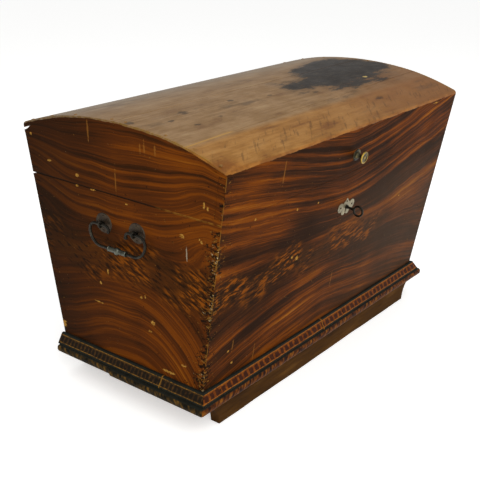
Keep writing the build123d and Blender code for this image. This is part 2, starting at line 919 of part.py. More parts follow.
with BuildPart() as right_bail:
    mirror(left_bail.part, about=Plane.YZ)

with BuildPart() as right_bail_grip:
    mirror(left_bail_grip.part, about=Plane.YZ)

with BuildPart() as hinge_right_box_strap:
    mirror(hinge_left_box_strap.part, about=Plane.YZ)

with BuildPart() as hinge_right_lid_strap:
    mirror(hinge_left_lid_strap.part, about=Plane.YZ)

with BuildPart() as hinge_right_pin:
    mirror(hinge_left_pin.part, about=Plane.YZ)

# The lid's dome boards
with BuildPart() as lid_board_front:
    add(dome_board(0))

with BuildPart() as lid_board_front_middle:
    add(dome_board(1))

with BuildPart() as lid_board_back_middle:
    add(dome_board(2))

with BuildPart() as lid_board_back:
    add(dome_board(3))

# Nails, one group to each fitting
with BuildPart() as hinge_box_nails:
    add(nails(box_strap_nails, nail_shank, nail_head, strap_nail_length))
    mirror(about=Plane.YZ)

with BuildPart() as hinge_lid_nails:
    add(nails(lid_strap_nails, nail_shank, nail_head, strap_nail_length))
    mirror(about=Plane.YZ)

with BuildPart() as left_rosette_nails:
    add(nails(rosette_tops, tack_shank, tack_head, tack_length))

with BuildPart() as right_rosette_nails:
    mirror(left_rosette_nails.part, about=Plane.YZ)

with BuildPart() as escutcheon_nails:
    escutcheon_top = moved(key_plane, w=escutcheon_thickness)
    heads = ((lobe_x, escutcheon_rise), (-lobe_x, escutcheon_rise), (0, escutcheon_middle - tack_head / 2))
    add(nails([moved(escutcheon_top, u=u, v=v) for u, v in heads], tack_shank, tack_head, tack_length))

# The lock's flange and the staple's plate are nailed from inside
with BuildPart() as lock_nails:
    flange_x = case_half_width + case_flange / 2
    flange_top = Plane(
        moved(inner_face, w=-case_sheet).origin, x_dir=key_plane.x_dir, z_dir=-key_plane.z_dir
    )
    rows = (-(case_above - case_flange), -case_middle, case_below - case_flange)
    add(nails([moved(flange_top, u=flange_x, v=v) for v in rows], tack_shank, tack_head, tack_length))
    mirror(about=Plane.YZ)

with BuildPart() as staple_nails:
    plate_top = moved(flange_top, w=staple_plate_thickness - case_sheet)
    rows = (plate_foot + tack_head, plate_foot + staple_plate_height - tack_head)
    head_x = staple_plate_width / 2 - tack_head
    add(nails([moved(plate_top, u=head_x, v=-v) for v in rows], tack_shank, tack_head, tack_length))
    mirror(about=Plane.YZ)


def moulding_place(reach):
    """The middle of the moulding's slope as (distance, height), and the slope's outward normal."""
    points = moulding_section(reach)
    foot, top = Vector(points[2]), Vector(points[3])
    slope = (top - foot).normalized()
    return (foot + top) / 2, Vector(slope.Y, -slope.X)


front_nail_spots = [share * lid_edge_length for share in front_nail_shares]
end_nail_spots = [share * lid_edge_depth for share in end_nail_shares]
with BuildPart() as moulding_nails:
    middle, normal = moulding_place(half_depth)
    add(
        nails(
            [Plane((x, -middle.X, middle.Y), (1, 0, 0), (0, -normal.X, normal.Y)) for x in front_nail_spots],
            nail_shank,
            nail_head,
            moulding_nail_length,
        )
    )
    middle, normal = moulding_place(half_length)
    add(
        nails(
            [
                Plane((side * middle.X, y, middle.Y), (0, 1, 0), (side * normal.X, 0, normal.Y))
                for side in (-1, 1)
                for y in end_nail_spots
            ],
            nail_shank,
            nail_head,
            moulding_nail_length,
        )
    )

# Nails through the dome boards into the gables, square to the dome's surface
dome_edge, dome_shoulder, dome_ridge, dome_crown = dome_points(0)
shoulder_arc = ThreePointArc(dome_edge, dome_shoulder, dome_ridge)
crown_arc = ThreePointArc(dome_ridge, dome_crown, (-dome_ridge.X, dome_ridge.Y))
nail_x = lid_edge_length / 2 - wall / 2
with BuildPart() as lid_nails:
    places = []
    for arc, shares, sides in ((shoulder_arc, shoulder_nails, (-1, 1)), (crown_arc, crown_nails, (1,))):
        for share in shares:
            point, slope = arc @ share, arc % share
            for side in sides:
                for x in (-nail_x, nail_x):
                    spot = (x, side * point.X, point.Y)
                    places.append(Plane(spot, (1, 0, 0), (0, side * slope.Y, -slope.X)))
    add(nails(places, nail_shank, nail_head, nail_length))


def drive(group, *pieces):
    """Cut a group of nails out of every piece that it is driven through."""
    for piece in pieces:
        with piece:
            add(group.part, mode=Mode.SUBTRACT)


drive(hinge_box_nails, hinge_left_box_strap, hinge_right_box_strap, box_back_board)
drive(hinge_lid_nails, hinge_left_lid_strap, hinge_right_lid_strap, lid_back_rail)
drive(left_rosette_nails, left_rosettes, box_left_board)
drive(right_rosette_nails, right_rosettes, box_right_board)
drive(escutcheon_nails, escutcheon, box_front_board)
drive(lock_nails, lock_case, box_front_board)
drive(staple_nails, lock_staple, lid_front_rail)
drive(moulding_nails, base_moulding_front_left, base_moulding_front_right)
drive(moulding_nails, base_moulding_left_front, base_moulding_left_back, base_moulding_right)
drive(moulding_nails, box_front_board, box_left_board, box_right_board)
drive(lid_nails, lid_board_front, lid_board_front_middle, lid_board_back_middle, lid_board_back)
drive(lid_nails, lid_left_gable, lid_right_gable)

pieces = {
    "box_front_board": box_front_board,
    "box_back_board": box_back_board,
    "box_left_board": box_left_board,
    "box_right_board": box_right_board,
    "bottom_plank_front": bottom_plank_front,
    "bottom_plank_back": bottom_plank_back,
    "base_moulding_front_left": base_moulding_front_left,
    "base_moulding_front_right": base_moulding_front_right,
    "base_moulding_left_front": base_moulding_left_front,
    "base_moulding_left_back": base_moulding_left_back,
    "base_moulding_right": base_moulding_right,
    "runner_front": runner_front,
    "runner_back": runner_back,
    "moulding_nails": moulding_nails,
    "lock_case": lock_case,
    "lock_guides": lock_guides,
    "lock_nails": lock_nails,
    "lock_bolt": lock_bolt,
    "escutcheon": escutcheon,
    "escutcheon_nails": escutcheon_nails,
    "key": key,
    "lid_front_rail": lid_front_rail,
    "lid_back_rail": lid_back_rail,
    "lid_left_gable": lid_left_gable,
    "lid_right_gable": lid_right_gable,
    "lid_board_front": lid_board_front,
    "lid_board_front_middle": lid_board_front_middle,
    "lid_board_back_middle": lid_board_back_middle,
    "lid_board_back": lid_board_back,
    "lid_nails": lid_nails,
    "lock_staple": lock_staple,
    "staple_nails": staple_nails,
    "knob": knob,
    "knob_backplate": knob_backplate,
    "knob_nut": knob_square_nut,
    "hinge_left_box_strap": hinge_left_box_strap,
    "hinge_left_lid_strap": hinge_left_lid_strap,
    "hinge_left_pin": hinge_left_pin,
    "hinge_right_box_strap": hinge_right_box_strap,
    "hinge_right_lid_strap": hinge_right_lid_strap,
    "hinge_right_pin": hinge_right_pin,
    "hinge_box_nails": hinge_box_nails,
    "hinge_lid_nails": hinge_lid_nails,
    "left_eyes": left_eyes,
    "left_rosettes": left_rosettes,
    "left_rosette_nails": left_rosette_nails,
    "left_bail": left_bail,
    "left_bail_grip": left_bail_grip,
    "right_eyes": right_eyes,
    "right_rosettes": right_rosettes,
    "right_rosette_nails": right_rosette_nails,
    "right_bail": right_bail,
    "right_bail_grip": right_bail_grip,
}
# The key's bow stands out in front, so the trunk is set back to sit centred on the origin
for name, piece in pieces.items():
    placed = piece.part.moved(Location((0, set_back, 0)))
    placed.label = name
    export_step(placed, f"parts/{name}.step")
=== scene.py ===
# %% [markdown]
# # A dome-top trunk with painted wood grain
#
# The trunk is a pine chest whose four walls lean outwards, joined at the corners with
# dovetails. Its lid is an arch of four boards. A painter has covered the plain pine with
# thin brown glaze, dragged into the long curved stripes of an expensive wood.
#
# This notebook builds the surfaces with NumPy, in the same steps a maker would take:
# boards first, then mouldings, then ironwork, and last the paint and its wear.
# Lengths are worked out in millimetres and turned into metres when a mesh is made.

import json

import bpy
import numpy as np
from mathutils import Matrix, Vector


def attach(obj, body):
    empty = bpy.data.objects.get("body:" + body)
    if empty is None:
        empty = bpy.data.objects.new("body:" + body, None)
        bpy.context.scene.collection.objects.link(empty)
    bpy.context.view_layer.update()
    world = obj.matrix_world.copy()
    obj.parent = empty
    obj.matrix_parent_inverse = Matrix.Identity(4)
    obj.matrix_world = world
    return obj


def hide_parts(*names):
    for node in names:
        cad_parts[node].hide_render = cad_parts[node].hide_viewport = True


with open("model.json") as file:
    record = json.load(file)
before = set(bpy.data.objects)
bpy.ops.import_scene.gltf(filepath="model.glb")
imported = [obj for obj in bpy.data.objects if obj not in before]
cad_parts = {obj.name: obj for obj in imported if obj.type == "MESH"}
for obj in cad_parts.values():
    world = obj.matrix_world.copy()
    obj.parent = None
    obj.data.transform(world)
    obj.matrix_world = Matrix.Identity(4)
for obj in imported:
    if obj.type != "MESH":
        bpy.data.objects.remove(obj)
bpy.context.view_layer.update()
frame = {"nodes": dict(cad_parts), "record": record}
print("nodes in the frame:", len(frame["nodes"]))

# %% [markdown]
# ## Sizes
#
# Every wall leans. Half the trunk's length and half its depth are straight-line functions
# of height, so they are written once here and used for every board.

# %% Main sizes, in millimetres
EDGE_Z, SEAM_Z, LID_FOOT = 635.0, 517.0, 517.6  # heights of the lid's edge, and of its seam with the box
MOULDING_TOP, PLANK_TOP, PLANK_FOOT = 105.0, 79.0, 60.0
LENGTH, DEPTH = 1040.0, 604.0  # outside, at the height of the lid's edge
WALL, DOME = 20.0, 12.0  # thickness of a wall and of a dome board
END_LEAN, FRONT_LEAN = np.radians(2.8), np.radians(8.3)
CROWN_RISE, RIDGE_Y, RIDGE_RISE = 51.5, 166.0, 38.0  # the arch over its edges, and where its arcs meet
BULGE, NOSE = 3.0, 10.0  # how full the arch's edges are, and the radius of the nosing
SET_BACK = 9.6  # the walls' middle lies this far behind the origin
SEAMS = [(-195.0, -163.0), (5.0, 12.0), (185.0, 178.0)]  # y at the left and the right end


def half_length(z):
    """Half the trunk's outside length at height z: it shrinks by the end's slope going down."""
    return LENGTH / 2 - (EDGE_Z - z) * np.tan(END_LEAN)


def half_depth(z):
    """Half the trunk's outside depth at height z: it shrinks by the front's slope going down."""
    return DEPTH / 2 - (EDGE_Z - z) * np.tan(FRONT_LEAN)


print("floor plan at the moulding:", half_length(PLANK_TOP) * 2, "by", half_depth(PLANK_TOP) * 2)

# %% [markdown]
# ## Helpers for irregular handwork
#
# Old boards are nearly straight but never quite. Their small wander is a sum of a few
# sine waves whose wavelengths and phases come from a seeded generator, so the trunk is
# the same every time it is built.


# %% Wandering lines and noise
def wander(x, seed, wavelength, waves=5):
    """Sum of sines, about -1 to 1.

    Wave k has a wavelength of wavelength / (1 + 0.8 k), a random phase and an amplitude
    of 1 / (1 + k); the sum is divided by the square root of the summed squares.
    """
    random = np.random.default_rng(seed)
    k = np.arange(waves)
    phase = random.uniform(0, 2 * np.pi, waves)
    stretch = random.uniform(0.85, 1.15, waves)
    size = 1 / (1 + k)
    angle = 2 * np.pi * np.multiply.outer(x, (1 + 0.8 * k) * stretch) / wavelength + phase
    return (np.sin(angle) * size).sum(-1) / np.sqrt((size**2).sum())


def soft_step(x, low, high):
    """0 below low, 1 above high, and the smooth curve t * t * (3 - 2 t) in between."""
    t = np.clip((x - low) / (high - low), 0, 1)
    return t * t * (3 - 2 * t)


print("wander at three places:", wander(np.array([0.0, 100.0, 200.0]), 1, 300.0).round(2))


# %% [markdown]
# ## Turning arrays into meshes
#
# Two shapes cover nearly all of the woodwork. A *block* is a box with six curved sides,
# made from a lattice of points. A *skin* is a stack of rings with the two ends closed.


# %% Blocks, skins and mesh objects
def spaced(length, coarse, fine=(0.6, 1.5, 3.0, 6.0)):
    """Positions from 0 to 1 along a length: fine steps near both ends, coarse ones between."""
    edge = np.array([0.0, *fine])
    edge = edge[edge < length / 2.5]
    inner = np.linspace(edge[-1], length - edge[-1], max(2, int((length - 2 * edge[-1]) / coarse) + 1))
    return np.concatenate([edge[:-1], inner, (length - edge[:-1])[::-1]]) / length


def outward(points, quads, caps=()):
    """Faces turned outwards: all are reversed where the volume they enclose comes out negative.

    The volume is a sixth of the sum of a . (b x c) over the triangles of every face.
    """
    fans = [np.stack([np.full(len(c) - 2, c[0]), c[1:-1], c[2:]], -1) for c in map(np.array, caps)]
    corners = points[np.concatenate([quads[:, :3], quads[:, [0, 2, 3]], *fans])]
    volume = (corners[:, 0] * np.cross(corners[:, 1], corners[:, 2])).sum()
    faces = quads.tolist() + [list(cap) for cap in caps]
    return points, faces if volume > 0 else [face[::-1] for face in faces]


def block(a, b, c, place):
    """The closed surface of a lattice a x b x c: place(A, B, C) turns its unit coordinates into points."""
    points = np.stack(np.broadcast_arrays(*place(*np.meshgrid(a, b, c, indexing="ij"))), -1)
    index = np.arange(points[..., 0].size).reshape(points.shape[:3])
    sides = (index[0], index[-1, ::-1], index[:, 0][:, ::-1], index[:, -1], index[..., 0], index[::-1, :, -1])
    quads = [np.stack([s[:-1, :-1], s[:-1, 1:], s[1:, 1:], s[1:, :-1]], -1).reshape(-1, 4) for s in sides]
    used, quads = np.unique(np.concatenate(quads), return_inverse=True)
    return outward(points.reshape(-1, 3)[used], quads.reshape(-1, 4))


def skin(rings):
    """Closed surface through rings (n, m, 3): quads between rings and one face over each end."""
    n, m = rings.shape[:2]
    index = np.arange(n * m).reshape(n, m)
    around = np.roll(index, -1, axis=1)
    quads = np.stack([index[:-1], around[:-1], around[1:], index[1:]], -1).reshape(-1, 4)
    return outward(rings.reshape(-1, 3), quads, (index[0, ::-1].tolist(), index[-1].tolist()))


def joined(parts):
    """Several (points, faces) pairs as one."""
    points, faces, start = [], [], 0
    for corners, polygons in parts:
        points.append(corners)
        faces += [[start + corner for corner in polygon] for polygon in polygons]
        start += len(corners)
    return np.concatenate(points), faces


def piece(name, points, faces, material, body, nodes, slot, marks=None, sharp=40):
    """A mesh object from points in millimetres, riding on a body and standing for CAD nodes."""
    mesh = bpy.data.meshes.new(name)
    placed = (np.asarray(points) + (0, SET_BACK, 0)) / 1000
    mesh.from_pydata(placed.tolist(), [], faces)
    for mark, values in (marks or {}).items():
        field = mesh.attributes.new(mark, "FLOAT", "POINT")
        field.data.foreach_set("value", np.asarray(values, dtype=np.float32))
    mesh.polygons.foreach_set("use_smooth", np.ones(len(mesh.polygons), dtype=bool))
    mesh.set_sharp_from_angle(angle=np.radians(sharp))
    mesh.materials.append(material)
    made = bpy.data.objects.new(name, mesh)
    bpy.context.scene.collection.objects.link(made)
    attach(made, body)
    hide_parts(*nodes)
    print(name, len(faces), "faces")


print("a block of 3 x 3 x 3 points has", len(block(*[np.arange(3.0)] * 3, lambda *place: place)[1]), "faces")

# %% [markdown]
# ## Colours and material nodes
#
# Colours are written as they look on a screen. Blender works with linear light, so one
# function turns them over. Another adds any shader node: a word after the node's name sets
# its mode, the values fill its inputs in order, and it hands back the node's output, so a
# material reads like a formula.


# %% Colours and nodes
def linear(colour):
    """A screen colour such as "a0713c" as linear (r, g, b, 1)."""
    screen = np.array([int(colour[i : i + 2], 16) for i in (0, 2, 4)]) / 255
    light = np.where(screen <= 0.04045, screen / 12.92, ((screen + 0.055) / 1.055) ** 2.4)
    return (*light.tolist(), 1.0)


def feed(socket, value):
    """Give an input another node's output, a screen colour or a number."""
    if isinstance(value, bpy.types.NodeSocket):
        socket.id_data.links.new(value, socket)
    else:
        socket.default_value = linear(value) if isinstance(value, str) else value


# What the word after a node's name sets, and what is set for every node of a kind.
WORDS = {"Math": "operation", "Mix": "data_type", "Attribute": "attribute_name"}
ALWAYS = {"MapRange": ("interpolation_type", "SMOOTHSTEP"), "TexGradient": ("gradient_type", "SPHERICAL")}


def adder(tree):
    """The function that adds nodes to this tree."""

    def add(kind, *values, out="Fac", stops=(), **named):
        """Add a node such as "Math MULTIPLY" and hand back its output called out, or else its first.

        Values go into its inputs in order and named ones by name. Stops are a colour ramp's
        (position, colour). A MapRange rises smoothly from 0 to 1 between its second and third
        value, or falls where the second is the larger.
        """
        kind, *word = kind.split()
        node = tree.nodes.new("ShaderNode" + kind)
        if word:
            setattr(node, WORDS[kind], word[0])
        if kind in ALWAYS:
            setattr(node, *ALWAYS[kind])
        for socket, value in zip([socket for socket in node.inputs if socket.enabled], values):
            feed(socket, value)
        for name, value in named.items():
            feed(node.inputs[name], value)
        if stops:
            node.color_ramp.interpolation = "EASE"
            elements = node.color_ramp.elements
            while len(elements) < len(stops):
                elements.new(0.5)
            for element, (position, colour) in zip(elements, stops):
                element.position, element.color = position, linear(colour)
        outputs = [socket for socket in node.outputs if socket.enabled]
        return next((socket for socket in outputs if socket.name == out), outputs[0])

    return add


def new_material(name):
    """A new material, the function that adds its nodes, and the inputs of its surface shader."""
    material = bpy.data.materials.new(name)
    material.use_nodes = True
    tree = material.node_tree
    return material, adder(tree), tree.nodes["Principled BSDF"].inputs


def finish(add, surface, colour, roughness, relief, depth):
    """Colour, roughness and a bump of this depth in millimetres into the surface shader."""
    feed(surface["Base Color"], colour)
    feed(surface["Roughness"], roughness)
    feed(surface["Normal"], add("Bump", Height=relief, Strength=1.0, Distance=depth / 1000))


print("linear light of mid grey:", round(linear("808080")[0], 3))

# %% [markdown]
# ## Patterns that several materials share
#
# Paint is built up as a painter would: a base colour, and coats over it that each lie only
# where a field says so. The fields are noises and soft-edged spots. Their sizes are real
# ones: millimetres for a streak, or how many specks fit in a metre.


# %% Patterns
def total(add, start, *terms):
    """A sum of fields: start + field x weight + field x weight and so on."""
    for field, weight in terms:
        start = add("Math MULTIPLY_ADD", field, weight, start)
    return start


def band(add, value, rise, fall):
    """1 along a band of a field: it rises between the first two levels and falls between the last two."""
    return add("Math MULTIPLY", add("MapRange", value, *rise), add("MapRange", value, *reversed(fall)))


def coats(add, colour, layers):
    """Coats of paint over a colour, one after another. Each is (where, how strong, its colour)."""
    for where, strength, coat in layers:
        colour = add("Mix RGBA", add("Math MULTIPLY", where, strength), colour, coat)
    return colour


def speckle(add, scale, detail=4.0, stretch=(1, 1, 1), roughness=0.55, seed=0.0):
    """Noise in object space. Scale counts features in a metre; stretch squeezes them by axis."""
    place = add("Mapping", add("TexCoord", out="Object"), Location=(seed, seed, seed), Scale=stretch)
    return add("TexNoise", place, scale, detail, roughness)


def field_noise(add, across, along, width, length, detail=3.0, roughness=0.55, seed=0.0):
    """Noise over two fields in millimetres: features are width wide and length long."""
    place = add("CombineXYZ", add("Math DIVIDE", across, width), add("Math DIVIDE", along, length), seed)
    return add("TexNoise", place, 1.0, detail, roughness)


def slanting(add, along, up, turn, width, length, detail, roughness, seed):
    """Field noise whose features are turned from the first field towards the second by an angle.

    Forwards is along cos(turn) + up sin(turn), and sideways up cos(turn) - along sin(turn).
    """
    forward = total(add, 0.0, (along, np.cos(turn)), (up, np.sin(turn)))
    sideways = total(add, 0.0, (up, np.cos(turn)), (along, -np.sin(turn)))
    return field_noise(add, sideways, forward, width, length, detail, roughness, seed)


def sizes_in_mm(add):
    """Object coordinates in millimetres as x, y, z, with y measured from the trunk's middle."""
    place = add("TexCoord", out="Object")
    x, y, z = (add("Math MULTIPLY", add("SeparateXYZ", place, out=axis), 1000.0) for axis in "XYZ")
    return x, add("Math SUBTRACT", y, SET_BACK), z


def facing(add):
    """Sizes of the object-space normal along x, y and z."""
    normal = add("TexCoord", out="Normal")
    return [add("Math ABSOLUTE", add("SeparateXYZ", normal, out=axis)) for axis in "XYZ"]


def at_ends(add, blur=0.15):
    """1 on the ends and 0 on the front and back, judged by the object-space normal."""
    nx, ny, nz = facing(add)
    return add("MapRange", add("Math SUBTRACT", nx, ny), -blur, blur)


def spots(add, places, ragged):
    """Several ellipsoids as one field with ragged outlines. Middles and radii are in millimetres."""
    found = 0.0
    for (x, y, z), radii in places:
        shift = [-m / r for m, r in zip((x, y + SET_BACK, z), radii)]
        scale = [1000 / r for r in radii]
        local = add("Mapping", add("TexCoord", out="Object"), Location=shift, Scale=scale)
        found = add("Math MAXIMUM", found, add("TexGradient", local))
    return add("MapRange", total(add, -0.85, (ragged, 1.7), (found, 1.0)), 0.30, 0.52)


def plain_pine(add, along, across):
    """Unpainted pine with faint lengthwise grain, as it is left inside."""
    grain = field_noise(add, across, along, 6.0, 260.0, 4.0, 0.6, 5.0)
    return add("ValToRGB", grain, stops=[(0.3, "7b5a38"), (0.7, "a17c50")])


print("patterns: bands, coats, speckles, streaks and spots")

# %% [markdown]
# ## The painter's grain
#
# The painter dragged each stripe by hand. Stripes on one face never cross, so they are
# the level lines of one smooth height field. On the front, the stripes of the upper half
# sag towards the middle and those of the lower half arch up to it. Between them lies a
# band of short flecks. The ends carry the same figure, narrower.


# %% Stripe fields
def front_stripes(x, z):
    """Height field of the front: z - 88 tanh((z - 335) / 150) |(x + 25) / 490| ^ 1.25."""
    spread = np.abs((x + 25) / 490) ** 1.25
    hand = 6 * wander(x, 3, 900.0) + 1.5 * wander(x + 2 * z, 4, 420.0)
    return z - 88 * np.tanh((z - 335) / 150) * spread + hand


def end_stripes(y, z):
    """Height field of the ends: the upper half sags, and the lower half arches, steeper to the front."""
    u = -y
    upper = 0.00145 * np.clip(np.abs(u + 20), 0, 260) ** 1.9 * soft_step(z, 380, 470)
    steep = np.where(u > 35, 0.0033, 0.0008) * (1 + 0.9 * np.clip((300 - z) / 200, 0, 1))
    arch = steep * np.clip(np.abs(u - 35), 0, 260) ** 1.92 * (1 - soft_step(z, 290, 400))
    crown = 0.0011 * u**2 * soft_step(z, 560, 680)
    hand = 6 * wander(u, 7, 640.0) + 1.5 * wander(u + z, 8, 300.0)
    return z - upper + arch + crown + hand


def fleck_band(u, z, middle, half_height, low, high):
    """How strongly the short flecks show: 1 along a wavering line, falling to 0 at half_height from it."""
    line = middle + 16 * wander(u, 11, 300.0)
    across = 1 - soft_step(np.abs(z - line), half_height * 0.4, half_height)
    return across * soft_step(u, low - 40, low) * (1 - soft_step(u, high, high + 120))


KNOCKS = [(440, 45, 1.0), (325, 40, 1.0), (150, 60, 0.8)]  # height, reach and strength of the worst ones


def corner_damage(x, y, z):
    """How hard the nearest upright corner has been knocked: most at the front left, below the lid."""
    level = 0.55 + 0.45 * wander(z, 61, 170.0)
    worst = sum(strength * np.exp(-(((z - height) / reach) ** 2)) for height, reach, strength in KNOCKS)
    front_left = np.where(z > 505, 0.42, 0.55 + 0.15 * level + 0.5 * worst)
    return np.where((x < 0) & (y < 0), front_left, np.where(y < 0, 0.3 * level, 0.35 * level))


def wall_marks(points, joint=None):
    """Everything the paint shader needs to know about each point of a wall."""
    x, y, z = points.T
    to_corner = np.maximum(half_length(z) - np.abs(x), 0) + np.maximum(half_depth(z) - np.abs(y), 0)
    return {
        "front_stripes": front_stripes(x, z),
        "end_stripes": end_stripes(y, z),
        "front_flecks": fleck_band(x, z, 332.0, 52.0, -530.0, 150.0),
        "end_flecks": fleck_band(-y, z, 358.0, 76.0, -300.0, 330.0),
        "corner": np.minimum(to_corner, 80.0),
        "damage": corner_damage(x, y, z),
        "joint": np.zeros(len(x)) if joint is None else joint,
        "inside": soft_step(np.minimum(half_length(z) - np.abs(x), half_depth(z) - np.abs(y)), 1, 3),
    }


print("stripe at the front's middle:", round(float(front_stripes(np.array(-25.0), np.array(500.0))), 1))

# %% [markdown]
# ## Boards with eased arrises
#
# No old board has a perfectly sharp corner. Each block's corners are rounded a little, by
# an amount that wanders along the edge, and least where one board runs into its neighbour.


# %% Boards
def eased(sizes, coordinates, radius, sides):
    """Rounds a box's corners: a point is pulled to the core box and pushed back out by the radius."""
    points = np.stack([c * size for c, size in zip(coordinates, sizes)], -1)
    low, high = np.array(sides[::2]), np.array(sides[1::2])
    core = np.clip(points, radius * low, np.array(sizes) - radius * high)
    away = points - core
    length = np.linalg.norm(away, axis=-1, keepdims=True)
    points = core + away * np.where(length > 1e-9, np.minimum(radius, length) / np.maximum(length, 1e-9), 1)
    return np.moveaxis(points / sizes, -1, 0)


def board(sizes, place, step=12.0, radius=0.5, sides=(1, 1, 1, 1, 1, 1), fine=(0.6, 1.5, 3.0, 6.0)):
    """An eased block of these rough sizes, whose unit coordinates place() turns into points."""
    steps = [spaced(size, step, fine) for size in sizes]
    return block(*steps, lambda a, b, c: place(*eased(sizes, (a, b, c), radius, sides)))


def between(low, high, share):
    """The value at a share of the way from low to high."""
    return low + (high - low) * share


def flat_top(y):
    """The box walls' top: the seam under the lid."""
    return np.full(np.shape(y), SEAM_Z)


def long_wall(side, foot, roof):
    """A front or back wall between its tails. roof(y) gives the height of its upper edge.

    At height z it runs between the ends' inner faces, and from half_depth(z) inwards.
    """

    def place(a, b, c):
        edge = roof(np.asarray(half_depth(SEAM_Z if roof is flat_top else EDGE_Z - DOME)) - WALL * b)
        z = between(foot, edge, c)
        reach = half_length(z) - WALL
        return between(-reach, reach, a), side * (half_depth(z) - WALL * b), z

    return board((LENGTH - 2 * WALL, WALL, float(roof(300.0)) - foot), place, sides=(0, 0, 1, 1, 1, 1))


def end_wall(end, foot, roof):
    """An end wall between its pins, from half_length(z) inwards, with its upper edge at roof(y)."""

    def place(a, b, c):
        y = between(-1, 1, b) * (half_depth(EDGE_Z if roof is under_dome else SEAM_Z) - WALL)
        z = between(foot, roof(y), c)
        y = between(-1, 1, b) * (half_depth(z) - WALL)
        z = between(foot, roof(y), c)
        return end * (half_length(z) - WALL * a), y, z

    return board((WALL, DEPTH - 2 * WALL, float(roof(0.0)) - foot), place, sides=(1, 1, 0, 0, 1, 1))


def pin_half_height(inward, pitch):
    """Half a pin's height: 0.24 of the pitch at the end wall's outer face, and 3.5 mm more inside."""
    return pitch * 0.24 + 3.5 * inward


def corner_blocks(kind, end, side, foot, roof, pitch, count):
    """The tails or pins of one corner, one above the other.

    Pin k stands on foot + k x pitch, half_height up and down from there, and the tails fill the
    gaps between pins. Both follow the two leaning faces.
    """
    made = []
    for k in range(count + (kind == "pins")):

        def place(a, b, c, k=k):
            if kind == "tails":
                half = pin_half_height(a, pitch)
                low, high = foot + k * pitch + half, foot + (k + 1) * pitch - half
            else:
                half = pin_half_height(a, pitch) - 0.12
                low, high = foot + k * pitch - half, foot + k * pitch + half
            low, high = np.maximum(low, foot), np.minimum(high, foot + count * pitch)
            high = np.minimum(high, roof(half_depth(high) - WALL * b))
            z = between(low, high, c)
            return end * (half_length(z) - WALL * a), side * (half_depth(z) - WALL * b), z

        roots = (1, 0, 1, 1, 1, 1) if kind == "tails" else (1, 1, 1, 0, 1, 1)
        made.append(board((WALL, WALL, pitch * 0.5), place, 8.0, 0.7, roots))
    return made


BOX_PITCH, LID_PITCH = (SEAM_Z - PLANK_TOP) / 6, (EDGE_Z - LID_FOOT) / 2
print("pins are", round(2 * pin_half_height(0, BOX_PITCH)), "mm high, one every", round(BOX_PITCH), "mm")

# %% [markdown]
# ## The arch of the lid
#
# The dome's outline is three arcs: a long flat one over the middle and a short steep one
# at each edge. One function gives the height over any point across the trunk. The
# underside is the same outline, lowered by the boards' thickness.


# %% Dome outline
def arc_through(p, q, r):
    """Centre and radius of the circle through three points: all three are equally far from it."""
    (a, b), (c, d), (e, f) = p, q, r
    matrix = 2 * np.array([[c - a, d - b], [e - a, f - b]])
    centre = np.linalg.solve(matrix, [c * c + d * d - a * a - b * b, e * e + f * f - a * a - b * b])
    return centre, np.hypot(a - centre[0], b - centre[1])


def dome(y, drop=0.0):
    """Height of the dome over y: the upper side of each circle, z = centre + root(r2 - (y - centre)2)."""
    top = EDGE_Z - drop
    edge, ridge = np.array([half_depth(top), top]), np.array([RIDGE_Y, top + RIDGE_RISE])
    slope = (edge - ridge) / np.linalg.norm(edge - ridge)
    shoulder = (edge + ridge) / 2 + np.array([-slope[1], slope[0]]) * BULGE
    far, middle = np.abs(y), (0.0, top + CROWN_RISE)
    (yc, zc), r = arc_through(edge, shoulder, ridge)
    steep = zc + np.sqrt(np.maximum(r * r - (far - yc) ** 2, 0))
    (yc, zc), r = arc_through(ridge, middle, (-ridge[0], ridge[1]))
    flat = zc + np.sqrt(np.maximum(r * r - (far - yc) ** 2, 0))
    return np.where(far < RIDGE_Y, flat, steep)


def under_dome(y):
    """Height of the dome boards' underside."""
    return dome(y, DOME)


print("dome heights at 0, 166 and 300 mm:", dome(np.array([0.0, 166.0, 300.0])).round(1))


# %% [markdown]
# ## Dome boards
#
# Four boards lie lengthwise over the arch. Their seams run a little askew, as they do when
# each board keeps the taper of its tree. The outer two also carry the rounded nosing.


# %% Dome board sections
def nosing(steps=7):
    """The front edge's section, as (y, z): from the underside up round the nosing's arc.

    The arc's centre lies one radius away from both the wall's face and the top.
    """
    fall = np.arctan2(float(dome(np.array(290.0)) - dome(np.array(300.0))), 10.0)
    outward = np.array([-np.cos(FRONT_LEAN), -np.sin(FRONT_LEAN)])
    upward = np.array([-np.sin(fall), np.cos(fall)])
    wall_foot = np.array([-half_depth(EDGE_Z - DOME), EDGE_Z - DOME])
    edge = np.array([-half_depth(EDGE_Z), EDGE_Z])
    middle = (outward + upward) / (1 + outward @ upward)
    centre = edge - NOSE * middle
    start, end = np.arctan2(*outward[::-1]), np.arctan2(*upward[::-1])
    turn = np.linspace(start % (2 * np.pi), end % (2 * np.pi), steps)
    arc = centre + NOSE * np.stack([np.cos(turn), np.sin(turn)], -1)
    return np.concatenate([[wall_foot], arc])


def seam(number, a):
    """Y of a seam at a share a of the half-length, with a slight wander of the saw."""
    left, right = SEAMS[number]
    return between(left, right, (a + 1) / 2) + 0.5 * wander(a * 500, 20 + number, 300.0)


SEAM_EASING = 0.5


